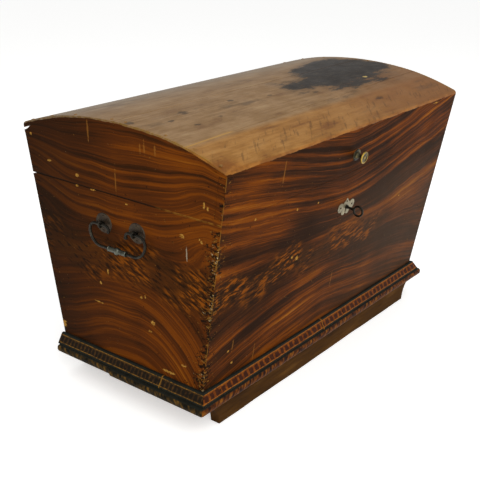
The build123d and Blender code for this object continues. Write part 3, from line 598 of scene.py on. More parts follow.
def dome_board(number, gap=0.35):
    """One dome board as rings along the trunk: front seam or nosing, top, back seam or nosing, underside.

    The front left tip sags by up to 6 mm, fading with e^(-distance / 60 mm) along the trunk.
    """
    a = -1 + 2 * spaced(LENGTH, 9.0)
    lows = seam(number - 1, a) + gap if number else np.full(len(a), -half_depth(EDGE_Z - DOME))
    highs = seam(number, a) - gap if number < 3 else np.full(len(a), half_depth(EDGE_Z - DOME))
    nose = nosing()
    start = np.full(len(a), nose[-1, 0]) if number == 0 else lows
    stop = np.full(len(a), -nose[-1, 0]) if number == 3 else highs
    across = spaced(150.0, 6.0, (0.6, 1.6))
    top_y = between(start[:, None], stop[:, None], across)
    top = np.stack([top_y, dome(top_y)], -1)
    if number:
        top[:, 0, 1] -= SEAM_EASING
    if number < 3:
        top[:, -1, 1] -= SEAM_EASING
    under_y = between(highs[:, None], lows[:, None], np.linspace(0, 1, 16))
    below = np.stack([under_y, under_dome(under_y)], -1)
    sections = [top, below]
    if number == 0:
        sections = [np.tile(nose[1:-1], (len(a), 1, 1)), top, below]
    if number == 3:
        back = nose[1:-1][::-1] * (-1, 1)
        sections = [top, np.tile(back, (len(a), 1, 1)), below]
    section = np.concatenate(sections, axis=1)
    sag = np.exp(-(a[:, None] + 1) * LENGTH / 2 / 60) * soft_step(-section[..., 0], 235, 300)
    section[..., 1] -= 6 * sag * soft_step(section[..., 1], EDGE_Z - DOME, EDGE_Z)
    x = a[:, None] * half_length(section[..., 1])
    return skin(np.concatenate([x[..., None], section], -1))


print("nosing section:", nosing().round(1).tolist()[:3])

# %% [markdown]
# ## The scorched patch and the other marks on the top
#
# A dark ragged patch spreads over the right of the lid. Its outline is kept as a smooth
# distance, positive inside, and the material breaks it up with fine noise. Smaller smudges
# and the slanting marks on the front board are ellipses handled in the same way.

# %% Marks on the top
PATCH = np.array(
    [(0, -96), (42, -30), (150, -20), (200, 30), (250, 60), (400, 112), (475, 100), (505, 0)]
    + [(515, -60), (480, -115), (350, -150), (230, -150), (150, -155), (100, -92), (50, -100)],
    dtype=float,
)
SMUDGES = [(-360, -50, 14, 12), (-190, -50, 8, 6), (-430, -75, 9, 7), (-400, -125, 9, 6), (-310, -115, 8, 5)]
SMUDGES += [(-70, -80, 8, 5), (-510, -30, 12, 9), (200, -233, 15, 7), (60, -128, 12, 7), (20, -112, 9, 5)]


def inside_polygon(points, corners):
    """Signed distance to a closed outline, positive inside: nearest edge, and the sign by crossings."""
    start, end = corners, np.roll(corners, -1, axis=0)
    edge = end - start
    offset = points[:, None] - start
    share = np.clip((offset * edge).sum(-1) / (edge**2).sum(-1), 0, 1)
    distance = np.linalg.norm(offset - share[..., None] * edge, axis=-1).min(1)
    y = points[:, 1, None]
    straddles = (start[:, 1] > y) != (end[:, 1] > y)
    cross = start[:, 0] + (y - start[:, 1]) * edge[:, 0] / np.where(edge[:, 1] == 0, 1e-9, edge[:, 1])
    crossings = (straddles & (points[:, 0, None] < cross)).sum(1)
    return np.where(crossings % 2 == 1, distance, -distance)


def top_marks(points):
    """What the top's shader needs to know about each point.

    A smudge falls from 1 at an ellipse's middle to 0 at 2.2 times its radii, and a seam with
    e^(-distance / 1.2 mm). Below is the depth under the top surface.
    """
    x, y, z = points.T
    smudge = np.zeros(len(points))
    for cx, cy, rx, ry in SMUDGES:
        smudge = np.maximum(smudge, 1 - np.hypot((x - cx) / (2.2 * rx), (y - cy) / (2.2 * ry)))
    return {
        "patch": np.clip(inside_polygon(points[:, :2], PATCH), -90, 90),
        "smudge": np.clip(smudge, 0, 1),
        "rim": soft_step(np.abs(x) - half_length(z), -7.0, -1.0),
        "below": dome(np.clip(y, -DEPTH / 2, DEPTH / 2)) - z,
        "seam": np.exp(-np.min([np.abs(y - seam(n, x / half_length(z))) for n in range(3)], axis=0) / 1.2),
    }


print("the patch's outline has", len(PATCH), "points")


# %% [markdown]
# ## Base mouldings and planks
#
# The trunk stands on two planks with rounded edges. On them lies a splayed moulding,
# mitred at the front corners. A moulding is its section carried along the wall: each
# point of the section slides from one mitre or butt joint to the next.


# %% Mouldings
def rounded(corners, radii, steps=4):
    """A polygon with each corner replaced by a curve p = (1-t)2 a + 2t(1-t) corner + t2 b."""
    corners = np.asarray(corners, dtype=float)
    before, after = np.roll(corners, 1, axis=0) - corners, np.roll(corners, -1, axis=0) - corners
    pull = np.asarray(radii)[:, None]
    a = corners + before / np.linalg.norm(before, axis=1, keepdims=True) * pull
    b = corners + after / np.linalg.norm(after, axis=1, keepdims=True) * pull
    t = np.linspace(0, 1, steps)[:, None, None]
    return ((1 - t) ** 2 * a + 2 * t * (1 - t) * corners + t**2 * b).transpose(1, 0, 2).reshape(-1, 2)


SPLAY, LIP = 22.0, 7.5  # how far the moulding stands out at its foot and near its top


def moulding(kind, start, end, seed, gap=0.3):
    """A base moulding: its section carried along a wall. start and end are "mitre" or a place along it."""
    reach = half_depth if kind == "front" else half_length
    across = half_length if kind == "front" else half_depth
    lower, upper = reach(PLANK_TOP), reach(MOULDING_TOP)
    foot = [(lower, PLANK_TOP), (lower + SPLAY, PLANK_TOP), (lower + SPLAY, PLANK_TOP + 3)]
    top = [(upper + LIP, MOULDING_TOP - 1.5), (upper + LIP - 1, MOULDING_TOP), (upper, MOULDING_TOP)]
    out, z = rounded(foot + top, [0.3, 0.8, 0.7, 0.6, 0.5, 0.3]).T
    proud = out - reach(z)
    mitre = across(z) + proud - gap / 2
    first = -mitre if start == "mitre" else np.full(len(z), start + gap / 2)
    last = mitre if end == "mitre" else np.full(len(z), end - gap / 2)
    share = spaced(float(np.ptp([first.mean(), last.mean()])), 8.0)[:, None]
    along = between(first, last, share)
    worn = 0.35 * wander(along, seed, 120.0) * (proud > 1)
    height = z + 0.3 * wander(along, seed + 1, 190.0) * (z > 100)
    if kind == "front":
        return skin(np.stack([along, -(out + worn), height], -1))
    side = -1 if kind == "left" else 1
    return skin(np.stack([side * (out + worn), along, height], -1))


print("points in the front left moulding:", len(moulding("front", "mitre", -17.0, 31)[0]))


# %% Planks and runners
BULLNOSE = (0.6, 1.7, 3.2, 5.0, 6.8, 8.5)
RUNNER = 26.0
SCOOP = [(486.8, 60.0), (451.1, 30.0), (443.8, 0.0)]  # x and z of three points on a runner's end


def plank(front, back, half_span, outer):
    """A plank whose ends and outer edge are fully rounded. outer says which long edges are outer ones."""

    def place(a, b, c):
        x = between(-half_span, half_span, a)
        waver = 0.4 * wander(x, 41, 240.0) * (1 - b) * outer[0]
        return x, between(front, back, b) + waver, between(PLANK_FOOT, PLANK_TOP, c)

    sizes = (2 * half_span, back - front, PLANK_TOP - PLANK_FOOT)
    return board(sizes, place, 14.0, BULLNOSE[-1], (1, 1, *outer, 1, 1), BULLNOSE)


def runner(front_y):
    """A runner under the planks, with its ends scooped out below by an arc through three points."""
    (xc, zc), r = arc_through(*SCOOP)

    def place(a, b, c):
        z = c * PLANK_FOOT
        span = xc - np.sqrt(np.maximum(r * r - (z - zc) ** 2, 0))
        return between(-span, span, a), front_y + RUNNER * b + 0.6 * wander(a * 900, 51, 400.0) * (1 - b), z

    return board((2 * SCOOP[0][0], RUNNER, PLANK_FOOT), place, radius=1.2)


print("faces of a runner:", len(runner(0.0)[1]))

# %% [markdown]
# ## The dragged glaze
#
# The walls are pine under a brown oil glaze. The stripes come from the height fields kept
# on the mesh: a noise that is long along the stripe and short across it gives streaks, and
# four widths of streak are added up. A ramp turns the sum into thick and thin glaze.


# %% Stripes
def dragged_glaze(add, at_end, along):
    """The striped paint, and its streaks of 6.5 and 2.4 mm, which also stand up as relief."""
    stripes = add("Mix FLOAT", at_end, add("Attribute front_stripes"), add("Attribute end_stripes"))
    stripes = total(add, stripes, (speckle(add, 26.0, 3.0, roughness=0.6, seed=40.0), 4.5))
    pool = field_noise(add, stripes, along, 46.0, 620.0, 1.0, seed=21.0)
    broad = field_noise(add, stripes, along, 20.0, 800.0, 2.0)
    middle = field_noise(add, stripes, along, 6.5, 420.0, 4.0, 0.65, 7.0)
    hair = field_noise(add, stripes, along, 2.4, 110.0, 5.0, 0.75, 3.0)
    cloudy = speckle(add, 4.5, 2.0, seed=12.0)
    figure = total(add, -0.215, (hair, 0.24), (middle, 0.34), (broad, 0.42), (pool, 0.21), (cloudy, 0.22))
    # Darker drags run above and below the flecks. The ends are calmer and lighter than the front.
    upper_drag = band(add, stripes, (370.0, 398.0), (418.0, 450.0))
    lower_drag = band(add, stripes, (272.0, 298.0), (318.0, 345.0))
    end_drag = band(add, stripes, (384.0, 400.0), (414.0, 436.0))
    lively = total(add, -0.006, (figure, 1.0), (upper_drag, -0.055), (lower_drag, -0.0385))
    calm = total(add, 0.218, (figure, 0.62), (end_drag, -0.035))
    stops = [(0.40, "281609"), (0.46, "3a1f0c"), (0.515, "562b0e"), (0.57, "763c0d"), (0.65, "9a5c18")]
    return add("ValToRGB", add("Mix FLOAT", at_end, lively, calm), stops=stops), middle, hair


def flecked(add, paint, at_end, along, z):
    """The paint mottled with short slanting flecks, 8 mm by 36 mm, on islands of 11 cm."""
    slope = add("Mix FLOAT", at_end, 0.16, 0.44)
    forward = add("Math MULTIPLY_ADD", z, slope, along)
    sideways = add("Math SUBTRACT", z, add("Math MULTIPLY", along, slope))
    dashes = field_noise(add, sideways, forward, 8.0, 36.0, 3.0, 0.6, 11.0)
    islands = add("MapRange", speckle(add, 9.0, 2.0, seed=4.0), 0.40, 0.55)
    bright = add("Math MULTIPLY", add("MapRange", dashes, 0.50, 0.60), islands)
    dark = add("MapRange", dashes, 0.46, 0.38)
    return coats(add, paint, [(1.0, 0.6, "41260f"), (dark, 0.8, "1c120b"), (bright, 1.0, "8a4a10")])


print("streaks of 46, 20, 6.5 and 2.4 mm, and flecks of 8 mm")

# %% [markdown]
# ## Knocks, chips and scratches
#
# Knocks have opened the corners. How hard a place was hit falls off as e to the power of
# minus its distance to the corner, about 30 mm, and noise decides which grains went: dark
# specks of dirt and painted shade in the knocks' hollows, chips down to the ochre ground, and
# rarely a sliver of pale wood. The single chips and scratches were placed one by one, each
# as a small ellipsoid that the paint's own grain frays.


# %% Knocked corners
def knocks(add, at_end):
    """Where dark specks of dirt and painted shade, chips and pale slivers show: noise plus a share of the hurt,
    cut off softly.
    """
    corner, damage = add("Attribute corner"), add("Attribute damage")
    hurt = add("Math EXPONENT", add("Math MULTIPLY", corner, -0.034))
    hurt = add("Math MULTIPLY", hurt, damage)
    hurt = add("Math MULTIPLY", hurt, add("Mix FLOAT", at_end, 0.72, 1.0))
    smear = speckle(add, 75.0, 4.0, (1, 1, 1.6), 0.65, 21.0)
    flakes = speckle(add, 95.0, 4.0, (1, 1, 1.9), 0.66, 44.0)
    slivers = speckle(add, 110.0, 4.0, (1, 1, 2.6), 0.68, 31.0)
    # Dark specks near the knocks: dirt, and painted shade in the knocks' hollows.
    dark_specks = add("MapRange", total(add, smear, (hurt, 0.28)), 0.67, 0.73)
    chipped = add("MapRange", total(add, flakes, (hurt, 0.21)), 0.69, 0.74)
    pale = add("MapRange", total(add, slivers, (hurt, 0.17)), 0.76, 0.81)
    # The arris itself is bare in patches.
    arris = add("Math MULTIPLY", add("MapRange", corner, 1.5, 0.5), add("MapRange", damage, 0.2, 0.5))
    patchy = add("MapRange", speckle(add, 50.0, 4.0, (1, 1, 0.7), 0.7, 27.0), 0.47, 0.57)
    return dark_specks, add("Math MAXIMUM", chipped, add("Math MULTIPLY", arris, patchy)), pale


# Single chips and scratches
END_CHIPS = [  # across the left end, height, and their radii
    (222, 557, 9, 4), (131, 540, 9, 6), (134, 515, 8, 4), (-178, 470, 10, 7), (53, 322, 4, 11),
    (80, 285, 5, 6), (-50, 287, 5, 6), (-62, 292, 3, 6), (-83, 232, 10, 9), (-72, 207, 8, 5),
    (-125, 119, 34, 5), (-170, 152, 13, 4), (225, 130, 16, 14), (-240, 553, 4, 12), (-250, 548, 4, 7),
    (278, 612, 6, 5), (84, 516, 14, 3), (-232, 470, 5, 5), (-226, 475, 3, 4), (90, 232, 20, 2.6),
    (-20, 505, 6, 3),
]  # fmt: skip
FRONT_CHIPS = [  # along the front, height, and their radii
    (-215, 351, 6, 6), (-193, 342, 9, 8), (-230, 478, 5, 5), (-395, 500, 5, 4), (300, 375, 6, 3),
    (395, 622, 24, 2.6), (-420, 180, 5, 5), (-140, 470, 4, 4), (-398, 140, 6, 6),
]  # fmt: skip
END_SCRATCHES = [(9, 552, 2.8, 46), (-82, 645, 4, 22), (-112, 645, 4, 20), (85, 655, 4, 34)]
END_SCRATCHES += [(-70, 640, 3, 20)]
FRONT_SCRATCHES = [(-312, 585, 3.4, 52), (-312, 130, 3, 44), (2, 215, 2.6, 38), (-405, 190, 3, 26)]
WHITE_SCRATCH = [(-190, 430, 2.8, 27)]


def on_walls(ends, fronts):
    """Middles and radii in space of marks on the left end and on the front, 14 mm deep."""
    marks = [((-half_length(z), y, z), (14, ry, rz)) for y, z, ry, rz in ends]
    return marks + [((x, -half_depth(z), z), (rx, 14, rz)) for x, z, rx, rz in fronts]


print("chips on the left end and the front:", len(END_CHIPS), "and", len(FRONT_CHIPS))

# %% [markdown]
# ## The walls' whole finish
#
# The coats go on in the order in which they came on the real trunk: stripes and flecks,
# the crack at the lid's seam, knocks, chips and scratches. Painted shade towards the back of
# the ends and a painted glare on the front's lower right go on after the flecks. Old
# varnish gives an uneven satin shine, and bare wood is dull.


# %% Walls: glazed pine
def glaze(add):
    """Colour, roughness and relief of the glazed walls."""
    x, y, z = sizes_in_mm(add)
    at_end = at_ends(add)
    along = add("Mix FLOAT", at_end, x, y)
    paint, middle, hair = dragged_glaze(add, at_end, along)
    flecks = add("Mix FLOAT", at_end, add("Attribute front_flecks"), add("Attribute end_flecks"))
    # Painted shade: the ends darken towards the back.
    rear = add("Math MULTIPLY", add("MapRange", y, -80.0, 260.0), at_end)
    # Painted glare: a grey haze over the lower right of the front.
    painted_glare = add("Math MULTIPLY", add("MapRange", x, -300.0, 420.0), add("MapRange", z, 540.0, 380.0))
    painted_glare = add("Math MULTIPLY", painted_glare, add("Math SUBTRACT", 1.0, at_end))
    # The lid's seam: a dark crack towards the back of the ends, and an ochre line at their front.
    seam_gap = add("Math ABSOLUTE", add("Math SUBTRACT", z, SEAM_Z + 1))
    seam_line = add("MapRange", seam_gap, 2.8, 1.2)
    open_part = add("Math MULTIPLY", add("MapRange", y, -150.0, -90.0), at_end)
    breaks = add("MapRange", speckle(add, 60.0, 3.0, seed=2.0), 0.35, 0.6)
    open_joints = add("Math MULTIPLY", add("Attribute joint"), breaks)
    crack = add("Math MAXIMUM", open_joints, add("Math MULTIPLY", seam_line, open_part))
    closed = add("Math MULTIPLY", seam_line, add("Math SUBTRACT", at_end, open_part))
    closed = add("Math MULTIPLY", closed, breaks)
    dark_specks, chipped, pale = knocks(add, at_end)
    grain = speckle(add, 130.0, 5.0, (1, 1, 1.9), 0.7)
    chips = spots(add, on_walls(END_CHIPS, FRONT_CHIPS), grain)
    ochre = add("ValToRGB", grain, stops=[(0.4, "8a5a1c"), (0.56, "b98a3e")])
    scratches = spots(add, on_walls(END_SCRATCHES, FRONT_SCRATCHES), grain)
    white = spots(add, on_walls(WHITE_SCRATCH, []), grain)
    inside = add("Attribute inside")
    # The rear coat is painted shade on the ends, laid over the flecks.
    layers = [(flecks, 1.0, flecked(add, paint, at_end, along, z)), (rear, 0.72, "22170e")]
    # Then the painted glare on the front, the seam's crack and its ochre line.
    layers += [(painted_glare, 0.34, "5f4a39"), (crack, 0.8, "17140f"), (closed, 0.6, "9a6a26")]
    # Near-black specks at the knocks are dirt and painted shade in their hollows.
    layers += [(dark_specks, 0.9, "17120c"), (chipped, 0.85, "8a5f26"), (pale, 1.0, "cdb98f")]
    layers += [(chips, 0.92, ochre), (scratches, 0.5, "9a6428"), (white, 0.7, "a89c84")]
    layers += [(inside, 1.0, plain_pine(add, along, z))]
    bare_wood = add("Math MAXIMUM", chipped, chips)
    dull = add("Math MULTIPLY", add("Math MAXIMUM", bare_wood, inside), 0.75)
    shine = add("Math MAXIMUM", total(add, 0.30, (speckle(add, 30.0, 3.0, seed=6.0), 0.22)), dull)
    hollow = add("Math MAXIMUM", bare_wood, crack)
    return coats(add, paint, layers), shine, total(add, 0.0, (middle, 0.4), (hair, 0.4), (hollow, -1.0))


def glazed_pine():
    """Pine under a dragged brown glaze and satin varnish, worn along its edges."""
    material, add, surface = new_material("glazed_pine")
    finish(add, surface, *glaze(add), 0.25)
    surface["Specular IOR Level"].default_value = 0.01
    return material


GLAZED_PINE = glazed_pine()
print("material:", GLAZED_PINE.name, len(GLAZED_PINE.node_tree.nodes), "nodes")

# %% [markdown]
# ## The rubbed top
#
# Two centuries of use have rubbed the top down to the ground coat, a warm tan with
# lengthwise streaks. The scorched patch is nearly black. The glaze has stayed on the
# boards' front edge and ends, so this material takes the walls' glaze there.

# %% The scorch and the smudges
PALE_CHIP = ((320, -120, 672), (16, 9, 30))


def scorch(add):
    """Coats of scorch: the outline's distance, broken up by noise of centimetres and of millimetres."""
    rough = speckle(add, 15.0, 4.0, (0.5, 1.6, 1), 0.65)
    ragged = speckle(add, 70.0, 5.0, (0.4, 1.5, 1), 0.8, 14.0)
    patch = add("Attribute patch")
    scorched = add("MapRange", total(add, -130.0, (rough, 130.0), (ragged, 130.0), (patch, 1.0)), -12.0, 16.0)
    tinge = add("MapRange", total(add, -30.0, (rough, 60.0), (patch, 1.0)), -45.0, 20.0)
    ash = add("ValToRGB", ragged, stops=[(0.36, "0b0a09"), (0.5, "1f1b17"), (0.66, "40382d")])
    smudged = add("MapRange", total(add, -0.9, (ragged, 1.8), (add("Attribute smudge"), 1.0)), 0.38, 0.66)
    pale_chip = spots(add, [PALE_CHIP], ragged)
    return [(tinge, 0.4, "3f2c1a"), (scorched, 0.95, ash), (smudged, 0.7, "33261a"), (pale_chip, 1.0, "b59a55")]


print("one pale chip in the scorch at", PALE_CHIP[0])

# %% Top boards: rubbed ground coat
STROKES_TURN = np.radians(50)


def bare_top(add):
    """Colour, roughness and relief of the rubbed top."""
    x, y, z = sizes_in_mm(add)
    streak = field_noise(add, y, x, 11.0, 260.0, 5.0, 0.66)
    thread = field_noise(add, y, x, 2.4, 60.0, 4.0, 0.7, 9.0)
    patchy = speckle(add, 16.0, 5.0, (0.6, 1.3, 1.0), 0.7, 33.0)
    tone = total(add, 0.0, (thread, 0.15), (streak, 0.35), (patchy, 0.5))
    tan, yellow = (
        add("ValToRGB", tone, stops=list(zip((0.38, 0.46, 0.54, 0.64), colours)))
        for colours in (("725232", "856641", "92734f", "a1855f"), ("784a1b", "936327", "a37234", "b08143"))
    )
    yellow = coats(add, yellow, [(add("MapRange", x, -380.0, 420.0), 0.55, "7d5230")])
    front = add("MapRange", y, -190.0, -212.0)
    red = add("Math MULTIPLY", add("MapRange", x, -60.0, 380.0), add("MapRange", y, -40.0, -150.0))
    # Painted glare: the back of the top is greyed, rising from y = 20 to 260 mm.
    grey = add("MapRange", y, 20.0, 260.0)
    threads = add("MapRange", thread, 0.48, 0.66)
    dark_specks = add("MapRange", speckle(add, 11.0, 6.0, (0.5, 1.5, 1.0), 0.7, 3.0), 0.53, 0.70)
    # Slanting strokes left by the old paint along the front.
    strokes = add("MapRange", slanting(add, y, x, STROKES_TURN, 9.0, 60.0, 3.0, 0.6, 15.0), 0.55, 0.66)
    strokes = add("Math MULTIPLY", strokes, add("MapRange", y, -205.0, -240.0))
    # Seams between the boards: dark in places, and pale where the front one meets the left end.
    seam_part = add("MapRange", speckle(add, 12.0, 4.0, (0.3, 1, 1), seed=17.0), 0.40, 0.6)
    seams = add("Math MULTIPLY", add("Attribute seam"), seam_part)
    light = add("Math MULTIPLY", add("MapRange", x, -350.0, -375.0), add("MapRange", y, -120.0, -150.0))
    light = add("Math MULTIPLY", add("Attribute seam"), light)
    # Ochre along the rim over the gables and on the nosing along the front.
    rim = add("MapRange", speckle(add, 90.0, 4.0, seed=19.0), 0.3, 0.6)
    rim = add("Math MULTIPLY", add("Attribute rim"), rim)
    rim_colour = add("Mix RGBA", add("MapRange", y, -250.0, 150.0), "8e6722", "6b4c17")
    nose = add("Math MULTIPLY", add("MapRange", add("Attribute below"), 0.8, 3.0), front)
    nose_colour = add("ValToRGB", patchy, stops=[(0.4, "7d4a18"), (0.6, "a56a26")])
    # The grey coat is the painted glare on the back of the top.
    layers = [(front, 0.85, yellow), (red, 0.5, "77481f"), (grey, 0.6, "8d8577"), (threads, 0.3, "573a1e")]
    layers += [(dark_specks, 0.6, "4b3a28"), (strokes, 0.5, "4f3218"), *scorch(add)]
    layers += [(seams, 0.5, "4a3018"), (light, 1.0, "c19246"), (rim, 0.8, rim_colour), (nose, 0.8, nose_colour)]
    shine = total(add, 0.34, (speckle(add, 22.0, 3.0, seed=6.0), 0.2))
    return coats(add, tan, layers), shine, total(add, 0.0, (streak, 0.6), (thread, 0.4))


def rubbed_top():
    """Pine rubbed back to a tan ground coat above, with glaze left on the boards' front edge and ends."""
    material, add, surface = new_material("rubbed_pine")
    x, y, z = sizes_in_mm(add)
    inside = add("Attribute inside")
    # The glaze starts about 7 mm down the front edge, but only 3 mm down the gables, less to the front.
    ends = add("Math MULTIPLY", at_ends(add), add("MapRange", y, -290.0, -120.0))
    waver = speckle(add, 30.0, 5.0, roughness=0.75, seed=23.0)
    painted = total(add, -4.5, (waver, 9.0), (ends, 4.0), (add("Attribute below"), 1.0))
    painted = add("MapRange", painted, 6.5, 8.0)
    painted = add("Math MULTIPLY", painted, add("Math SUBTRACT", 1.0, inside))
    glazed, bare = glaze(add), bare_top(add)
    colour = coats(add, bare[0], [(inside, 1.0, plain_pine(add, x, y)), (painted, 1.0, glazed[0])])
    shine, relief = (add("Mix FLOAT", painted, bare[i], glazed[i]) for i in (1, 2))
    finish(add, surface, colour, shine, relief, 0.3)
    feed(surface["Specular IOR Level"], add("Mix FLOAT", painted, 0.10, 0.01))
    return material


RUBBED_TOP = rubbed_top()
print("material:", RUBBED_TOP.name, len(RUBBED_TOP.node_tree.nodes), "nodes")

# %% [markdown]
# ## Dabbed paint on the mouldings and planks
#
# The painter has dabbed a row of dark squares along the moulding with a flat brush, between
# two slate-grey lines, and slanting flecks along the plank below. One material paints both:
# the height tells which is which, and wear brings out ochre along the edges.


# %% Mouldings and planks: dabbed paint
def dabbed_moulding():
    """Painted moulding: dark square dabs on orange, under a slate-grey ledge."""
    material, add, surface = new_material("dabbed_moulding")
    x, y, z = sizes_in_mm(add)
    nz = facing(add)[2]
    at_end = at_ends(add, 0.1)
    along = add("Mix FLOAT", at_end, x, y)
    # Dabs: a zigzag along the moulding, 0 to 1 and back, cut off softly and kept off its edges.
    pitch = add("Mix FLOAT", at_end, 10.5, 6.0)
    uneven = total(add, along, (speckle(add, 32.0, 3.0), 10.0))
    step = add("Math PINGPONG", add("Math DIVIDE", uneven, pitch), 1.0)
    blurred = total(add, -0.4, (speckle(add, 120.0, 3.0, seed=1.0), 0.8), (step, 1.0))
    square = add("MapRange", blurred, 0.26, 0.42)
    rise = add("Math ABSOLUTE", add("Math SUBTRACT", z, 92.0))
    rise = total(add, rise, (speckle(add, 70.0, 2.0, seed=8.0), 4.0))
    square = add("Math MULTIPLY", square, add("MapRange", rise, 9.0, 7.0))
    cloud = speckle(add, 70.0, 4.0, (1, 1, 2.0), seed=2.0)
    orange = add("ValToRGB", cloud, stops=[(0.3, "4e230b"), (0.5, "70380e"), (0.7, "8c4e12")])
    olive = add("ValToRGB", cloud, stops=[(0.3, "241a10"), (0.5, "3b2a18"), (0.7, "54391c")])
    dab = add("Mix RGBA", at_end, "2a1510", "1c1813")
    # Planks below: brown with slanting darker flecks, olive at the ends.
    slant = slanting(add, along, z, 0.9, 7.0, 20.0, 2.0, 0.5, 4.0)
    brown_stops = [(0.36, "22110a"), (0.47, "48240b"), (0.58, "6c3a0f"), (0.7, "875418")]
    olive_stops = [(0.36, "17150e"), (0.47, "2c2416"), (0.57, "483518"), (0.68, "6b4d20")]
    brown, dull = (add("ValToRGB", slant, stops=stops) for stops in (brown_stops, olive_stops))
    low = add("MapRange", z, 79.6, 79.0)
    # Slate-grey paint on the ledge, along the moulding's foot and over the planks' upper edge.
    slate = add("Mix RGBA", speckle(add, 40.0, 4.0, seed=9.0), "161713", "2b2d27")
    ledge = add("Math MAXIMUM", add("MapRange", nz, 0.74, 0.9), add("MapRange", z, 101.2, 102.4))
    grey = add("Math MAXIMUM", ledge, band(add, z, (79.2, 79.8), (83.2, 84.2)))
    # Two bare lines, at heights of 100.9 and 84.9 mm, and the worn edges.
    upper = add("MapRange", add("Math ABSOLUTE", add("Math SUBTRACT", z, 100.9)), 1.5, 0.7)
    lower = add("MapRange", add("Math ABSOLUTE", add("Math SUBTRACT", z, 84.9)), 1.4, 0.6)
    lines = add("Math MULTIPLY", add("Math MAXIMUM", upper, lower), add("MapRange", nz, 0.80, 0.60))
    bare_edge = add("Math MAXIMUM", add("Attribute edge"), add("Math MULTIPLY", lines, 0.42))
    grain = speckle(add, 170.0, 5.0, roughness=0.7)
    worn = add("MapRange", total(add, bare_edge, (grain, 0.9)), 0.74, 0.94)
    ochre = add("Mix RGBA", at_end, "a0621f", "8d6426")
    layers = [(square, 0.85, dab), (low, 1.0, add("Mix RGBA", at_end, brown, dull)), (grey, 1.0, slate)]
    layers += [(worn, 0.85, ochre), (add("Attribute inside"), 1.0, plain_pine(add, x, y))]
    colour = coats(add, add("Mix RGBA", at_end, orange, olive), layers)
    relief = total(add, 0.0, (grain, 0.4), (square, 0.3))
    finish(add, surface, colour, total(add, 0.34, (grain, 0.2)), relief, 0.3)
    surface["Specular IOR Level"].default_value = 0.04
    return material


DABBED_MOULDING = dabbed_moulding()
print("material:", DABBED_MOULDING.name, len(DABBED_MOULDING.node_tree.nodes), "nodes")

# %% [markdown]
# ## Plain old surfaces
#
# The runner, the nails and the metals need no drawing, only age: a mottled colour, pits
# and an uneven shine. One recipe makes them all, with each one's own colours, size of
# mottling, roughness and depth of pits.


# %% Runner wood, painted nails and metals
def aged(name, stops, scale, roughness, metallic, depth, seed=0.0, stretch=(1, 1, 1), rust=None):
    """An aged surface: mottled colour from noise of this scale, uneven shine and pits of this depth."""
    material, add, surface = new_material(name)
    cloud = speckle(add, scale, 5.0, stretch, 0.65, seed)
    pits = speckle(add, scale * 4, 4.0, stretch, 0.7, seed + 3)
    colour = add("ValToRGB", cloud, stops=stops)
    surface["Metallic"].default_value = metallic
    if rust:
        rusted = add("MapRange", pits, 0.52, 0.66)
        colour = coats(add, colour, [(rusted, 0.8, rust)])
        feed(surface["Metallic"], total(add, metallic, (rusted, -0.6 * metallic)))
    if not metallic:
        surface["Specular IOR Level"].default_value = 0.03
    low, high = roughness
    relief = total(add, 0.0, (cloud, 0.5), (pits, 0.5))
    finish(add, surface, colour, total(add, low, (pits, high - low)), relief, depth)
    return material


# Old softwood, brown right through, with its mottling drawn out along the board
RUNNER_STOPS = [(0.3, "2c1b0b"), (0.5, "492e10"), (0.7, "64421a")]
RUNNER_WOOD = aged("runner_pine", RUNNER_STOPS, 18.0, (0.5, 0.8), 0.0, 0.4, stretch=(0.25, 1, 2))
# Forged iron: nearly black scale with a soft grey gleam
IRON_STOPS = [(0.3, "171511"), (0.5, "2a2720"), (0.7, "433e33")]
FORGED_IRON = aged("forged_iron", IRON_STOPS, 60.0, (0.35, 0.6), 0.85, 0.35)
# Rusty iron: the same, with dull brown rust in its pits
RUSTY_STOPS = [(0.3, "241b11"), (0.55, "3c3020"), (0.75, "564730")]
RUSTY_IRON = aged("rusty_iron", RUSTY_STOPS, 90.0, (0.4, 0.65), 0.7, 0.3, 2.0, rust="46291a")
# Steel worn bright by use, grey and fairly smooth
STEEL_STOPS = [(0.3, "3a3a33"), (0.55, "585a50"), (0.75, "76776a")]
WORN_STEEL = aged("worn_steel", STEEL_STOPS, 70.0, (0.28, 0.5), 0.9, 0.2, 4.0)
# Brass that nobody touches: dull green-brown
BRASS_STOPS = [(0.35, "211f17"), (0.5, "383322"), (0.65, "635532")]
OLD_BRASS = aged("tarnished_brass", BRASS_STOPS, 55.0, (0.38, 0.55), 0.9, 0.12, 5.0)
# Tinned sheet: pale, cloudy and hardly shiny
TIN_STOPS = [(0.3, "6a6250"), (0.5, "8d8369"), (0.7, "a89e80")]
TIN = aged("tinned_sheet", TIN_STOPS, 80.0, (0.4, 0.6), 0.6, 0.1, 6.0)
# Nail heads painted over with the wood round them: tan on the lid, dark on the mouldings
TAN_STOPS = [(0.3, "74522e"), (0.5, "8a663a"), (0.7, "987446")]
NAIL_PAINT = aged("painted_nails", TAN_STOPS, 90.0, (0.4, 0.6), 0.0, 0.2, 7.0)
DARK_STOPS = [(0.3, "20150d"), (0.5, "332214"), (0.7, "49301a")]
DARK_PAINT = aged("dark_painted_nails", DARK_STOPS, 90.0, (0.5, 0.7), 0.0, 0.2, 8.0)
print("plain finishes: runner wood, painted nails and five metals")

# %% [markdown]
# ## Putting the woodwork together
#
# Each wall is one piece: its board and its tails or pins. The four dome boards, the
# mouldings, the planks and the runners follow.


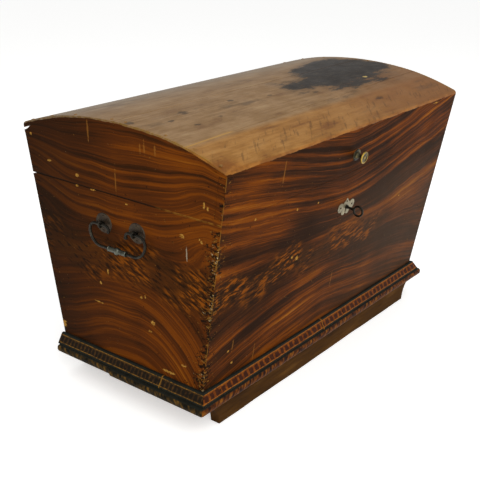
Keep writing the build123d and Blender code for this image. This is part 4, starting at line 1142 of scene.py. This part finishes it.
# %% Walls of the box and the lid
def joint_marks(points):
    """How near a point on a corner lies to the slanting side of a pin: 1 on the joint, 0 from 2.4 mm."""
    x, y, z = points.T
    result = np.zeros(len(points))
    depth = half_length(z) - np.abs(x)
    at_corner = (depth < WALL + 1.5) & (np.abs(y) > half_depth(z) - WALL - 1.5)
    for foot, top, pitch in ((PLANK_TOP, SEAM_Z, BOX_PITCH), (LID_FOOT, EDGE_Z, LID_PITCH)):
        level = (z - foot) / pitch
        nearest = np.abs(level - np.round(level)) * pitch
        gap = np.abs(nearest - pin_half_height(np.clip(depth / WALL, 0, 1), pitch))
        result = np.where(at_corner & (z > foot) & (z < top), 1 - np.clip(gap / 2.4, 0, 1), result)
    return result


def knocked(points):
    """The rear left corner, where 4 mm of wood is gone under the lid's seam and 5 mm under the dome."""
    x, y, z = points.T
    corner = soft_step(-x, half_length(z) - 60, half_length(z) - 30)
    inward = half_depth(z) - y
    seam_loss = 4 * soft_step(z, SEAM_Z - 14, SEAM_Z) * (z < SEAM_Z + 0.1) * soft_step(-inward, -13, -4)
    dome_loss = 5 * soft_step(z, 604, EDGE_Z - DOME) * soft_step(-inward, -25, -9)
    return np.stack([x, y, z - corner * (seam_loss + dome_loss)], -1)


def wall(name, parts, body, node):
    """A painted wall from its blocks, with the shader's marks."""
    points, faces = joined(parts)
    points = knocked(points)
    marks = wall_marks(points, joint_marks(points))
    piece(name, points, faces, GLAZED_PINE, body, [node], "grained_pine", marks)


for body, foot, roof, pitch, count, long_node, end_node in (
    ("box", PLANK_TOP, flat_top, BOX_PITCH, 6, "board", "board"),
    ("lid", LID_FOOT, under_dome, LID_PITCH, 2, "rail", "gable"),
):
    for name, side in (("front", -1), ("back", 1)):
        parts = [long_wall(side, foot, roof)]
        for end in (-1, 1):
            parts += corner_blocks("tails", end, side, foot, roof, pitch, count)
        wall(f"{body}_{name}_wall", parts, body, f"{body}_{name}_{long_node}")
    for name, end in (("left", -1), ("right", 1)):
        parts = [end_wall(end, foot, roof)]
        for side in (-1, 1):
            parts += corner_blocks("pins", end, side, foot, roof, pitch, count)
        wall(f"{body}_{name}_wall", parts, body, f"{body}_{name}_{end_node}")


# %% Dome boards
def under_side(points):
    """1 on the dome's underside, 0 on its ends and top."""
    x, y, z = points.T
    edge = np.minimum(half_length(z) - np.abs(x), half_depth(z) - np.abs(y))
    return (np.abs(under_dome(y) - z) < 0.5) * soft_step(edge, 0.5, 2)


for number, node in enumerate(["front", "front_middle", "back_middle", "back"]):
    points, faces = dome_board(number)
    marks = {**wall_marks(points), **top_marks(points), "inside": under_side(points)}
    piece(f"dome_{node}_board", points, faces, RUBBED_TOP, "lid", [f"lid_board_{node}"], "worn_top", marks)


# %% Wear on the mouldings and planks
FOOT_DEPTH = float(half_depth(PLANK_TOP))
OVERHANG = 8.0  # of the base beyond the back wall
FRONT_BUTT, LEFT_BUTT = -17.0, -110.0  # where two strips of moulding meet


def edge_marks(points, kind):
    """Wear on a moulding's outer edges and ends, or on a plank's rounded lower edge."""
    x, y, z = points.T
    if kind == "plank":
        within = np.minimum(half_length(PLANK_TOP) - np.abs(x), half_depth(PLANK_TOP) - np.abs(y))
        inside = np.maximum(soft_step(within, 0, 16), z < PLANK_FOOT + 0.1)
        return {"edge": 0.42 * (1 - soft_step(z, 61.0, 70.0)), "inside": inside}
    out_x, out_y = np.abs(x) - half_length(z), np.abs(y) - half_depth(z)
    proud = np.where(out_x > out_y, out_x, out_y)
    nose = np.exp(-np.hypot(z - PLANK_TOP - 2, proud - SPLAY) / 1.6)
    front_butt = np.exp(-np.abs(x - FRONT_BUTT) / 2) * (y < -200)
    left_butt = np.exp(-np.abs(y - LEFT_BUTT) / 2) * (x < 0)
    return {"edge": 0.8 * np.max([0.2 * nose, front_butt, left_butt], axis=0)}


print("worn edges: the moulding's nose, its butt joints and the planks' lower edges")

# %% Mouldings, planks and runners
BACK_EDGE = FOOT_DEPTH + OVERHANG
for name, kind, start, end, seed in (
    ("front_left", "front", "mitre", FRONT_BUTT, 31),
    ("front_right", "front", FRONT_BUTT, "mitre", 33),
    ("left_front", "left", "mitre", LEFT_BUTT, 35),
    ("left_back", "left", LEFT_BUTT, BACK_EDGE, 37),
    ("right", "right", "mitre", BACK_EDGE, 39),
):
    points, faces = moulding(kind, start, end, seed)
    nodes, marks = [f"base_moulding_{name}"], edge_marks(points, "moulding")
    piece(f"moulding_{name}", points, faces, DABBED_MOULDING, "box", nodes, "grained_moulding", marks)
# Each plank's front and back edge, half its length, and which of the two edges is an outer one
for name, front, back, span, outer in (
    ("front", -FOOT_DEPTH - 29.5, 35.9, 528.0, (1, 0)),
    ("back", 36.1, BACK_EDGE, 522.6, (0, 1)),
):
    points, faces = plank(front, back, span, outer)
    nodes, marks = [f"bottom_plank_{name}"], edge_marks(points, "plank")
    piece(f"plank_{name}", points, faces, DABBED_MOULDING, "box", nodes, "grained_moulding", marks)
for name, front in (("front", -233.9), ("back", 190.9)):
    points, faces = runner(front)
    piece(f"runner_{name}_board", points, faces, RUNNER_WOOD, "box", [f"runner_{name}"], "dark_runner")

# %% [markdown]
# ## The lid's knob
#
# The knob is cast and turned brass. Handling keeps its rim bright, while the dished face,
# the neck and the backplate have gone dull green-brown. Turned work is a profile carried
# round its axis.


# %% Turned brass
def turned(profile, centre, axis, sides):
    """A profile of (radius, height) points carried round an axis, as a closed skin.

    A point is the centre + radius x (cos angle u + sin angle v) + height x axis, with u, v and
    the axis at right angles.
    """
    axis = np.array(axis) / np.linalg.norm(axis)
    across = np.cross(axis, (1.0, 0.0, 0.0))
    across /= np.linalg.norm(across)
    angle = np.linspace(0, 2 * np.pi, sides, endpoint=False)[:, None]
    spoke = np.cos(angle) * np.cross(across, axis) + np.sin(angle) * across
    radius, height = np.array(profile, dtype=float).T
    rings = np.array(centre) + radius[:, None, None] * spoke + height[:, None, None] * axis
    return skin(rings)


def handled_brass():
    """Tarnished brass, bright where fingers rub it: the rim mark leads from dull to polished."""
    material, add, surface = new_material("handled_brass")
    cloud, glints = speckle(add, 60.0, 4.0, seed=5.0), speckle(add, 90.0, 4.0, seed=9.0)
    dull = add("ValToRGB", cloud, stops=[(0.35, "2e2c20"), (0.5, "4c4630"), (0.65, "6e6240")])
    bright = add("ValToRGB", glints, stops=[(0.35, "6f5a20"), (0.6, "b39340")])
    rub = add("Attribute rim")
    colour, shine = add("Mix RGBA", rub, dull, bright), add("Mix FLOAT", rub, 0.45, 0.28)
    finish(add, surface, colour, shine, speckle(add, 220.0, 4.0, roughness=0.7), 0.08)
    surface["Metallic"].default_value = 0.85
    return material


BRASS = handled_brass()
print("material:", BRASS.name, len(BRASS.node_tree.nodes), "nodes")

# %% The knob
KNOB_DROP, KNOB_SIDES = 76.0, 48
KNOB_Z = EDGE_Z - KNOB_DROP
KNOB_FOOT = (0.0, -float(half_depth(KNOB_Z)), KNOB_Z)
KNOB_AXIS = (0.0, -np.cos(FRONT_LEAN), -np.sin(FRONT_LEAN))
# Radius and height: backplate side, neck, the head's underside, its rim and its dished face
KNOB = [(3.2, 1.2), (9.0, 2.4), (8.8, 3.8), (7.4, 5.2), (5.2, 8.5), (4.5, 12.5), (5.4, 15.6), (7.5, 17.8)]
KNOB += [(13.2, 19.2), (15.1, 20.0), (15.5, 21.4), (14.9, 23.0), (13.8, 23.9), (12.7, 23.7), (12.0, 22.9)]
KNOB += [(8.0, 22.2), (5.2, 22.6), (3.4, 23.6), (1.5, 24.0)]
head = turned(KNOB, KNOB_FOOT, KNOB_AXIS, KNOB_SIDES)
shaft = turned([(2.9, -24.0), (2.9, 1.5)], KNOB_FOOT, KNOB_AXIS, 20)
radius, height = np.repeat(np.array(KNOB), KNOB_SIDES, axis=0).T
rubbed = soft_step(radius, 11.6, 13.6) * soft_step(height, 19.0, 20.5)
rubbed = np.maximum(rubbed, 0.7 * (1 - soft_step(radius, 2, 5)) * (height > 20))
rubbed = np.append(rubbed, np.zeros(len(shaft[0])))
piece("knob_turned", *joined([head, shaft]), BRASS, "lid", ["knob"], "aged_brass", {"rim": rubbed}, 50)

# %% [markdown]
# ## Ironwork
#
# Bails, hinges, lock, key and nails are right as the CAD model has them, down to the hooked
# ends and the beaded grips, so they keep those shapes. Only their materials are new.

# %% Ironwork that keeps its CAD shape
PAINTED_HEADS = {"lid_nails": NAIL_PAINT, "moulding_nails": DARK_PAINT}
FINISHES = {
    "black_iron": FORGED_IRON,
    "rusty_iron": RUSTY_IRON,
    "bare_steel": WORN_STEEL,
    "aged_brass": OLD_BRASS,
    "tin_plate": TIN,
}
for entry in frame["record"]["subparts"]:
    node = frame["nodes"][entry["node"]]
    coat = PAINTED_HEADS.get(entry["node"], FINISHES.get(entry["material_slot"]))
    if coat and not node.hide_render:
        node.data.materials.clear()
        node.data.materials.append(coat)
print("ironwork coated")

# %% [markdown]
# ## Floor, light and camera
#
# The floor is a wide pale sheet. The world is an even white, so metal and varnish have
# something bright to reflect, and three large soft lamps shape the trunk. The camera
# stands where the photograph was taken from.

# %% Floor
bpy.ops.mesh.primitive_plane_add(size=40)
floor = bpy.context.object
floor.name = "studio_floor"
paper, add, surface = new_material("white_paper")
surface["Base Color"].default_value = linear("f2f2f0")
surface["Roughness"].default_value = 0.9
surface["Emission Color"].default_value = (1, 1, 1, 1)
direct = add("Math MAXIMUM", add("LightPath", out="Is Camera Ray"), add("LightPath", out="Is Glossy Ray"))
feed(surface["Emission Strength"], add("Math MULTIPLY", direct, 0.5))
floor.data.materials.append(paper)
print("floor laid")

# %% World and lamps
world = bpy.data.worlds.new("studio")
bpy.context.scene.world = world
world.use_nodes = True
sky = world.node_tree
background = sky.nodes["Background"]
background.inputs["Strength"].default_value = 0.5
background.inputs["Color"].default_value = (1, 1, 1, 1)
add = adder(sky)
seen = add("MixShader", add("LightPath", out="Is Camera Ray"), background.outputs[0], add("Background"))
feed(sky.nodes["World Output"].inputs["Surface"], seen)


def lamp(name, place, aim, size, power):
    """A square area lamp at a place in metres, turned to its aim."""
    light = bpy.data.lights.new(name, "AREA")
    light.size, light.energy = size, power
    made = bpy.data.objects.new(name, light)
    turn = (Vector(aim) - Vector(place)).to_track_quat("-Z", "Y")
    made.matrix_world = Matrix.Translation(place) @ turn.to_matrix().to_4x4()
    bpy.context.scene.collection.objects.link(made)


lamp("key_lamp", (-2.2, -2.6, 2.6), (0, 0, 0.4), 3.0, 76)
lamp("fill_lamp", (2.6, -2.2, 1.8), (0, 0, 0.4), 3.0, 22)
lamp("top_lamp", (0.2, 0.6, 3.4), (0, 0, 0.6), 2.6, 22)
print("three soft lamps")

# %% Camera, fitted to the photographed corners: angles in radians, place in metres
YAW, PITCH, ROLL = 0.9135747, 0.3752841, 0.0208321
PLACE = (-1.81198, -1.2934, 1.13853)
forward = Vector((np.sin(YAW) * np.cos(PITCH), np.cos(YAW) * np.cos(PITCH), -np.sin(PITCH)))
level = Vector((np.cos(YAW), -np.sin(YAW), 0))
upright = level.cross(forward)
right = np.cos(ROLL) * level + np.sin(ROLL) * upright
upward = -np.sin(ROLL) * level + np.cos(ROLL) * upright
lens = bpy.data.cameras.new("photo_camera")
lens.sensor_width, lens.lens = 36.0, 66.135
lens.shift_x, lens.shift_y = 0.02535, 0.0014
camera = bpy.data.objects.new("photo_camera", lens)
camera.matrix_world = Matrix.Translation(PLACE) @ Matrix((right, upward, -forward)).transposed().to_4x4()
bpy.context.scene.collection.objects.link(camera)
bpy.context.scene.camera = camera
bpy.context.scene.view_settings.view_transform = "Standard"
print("camera at", tuple(round(v, 3) for v in camera.location))
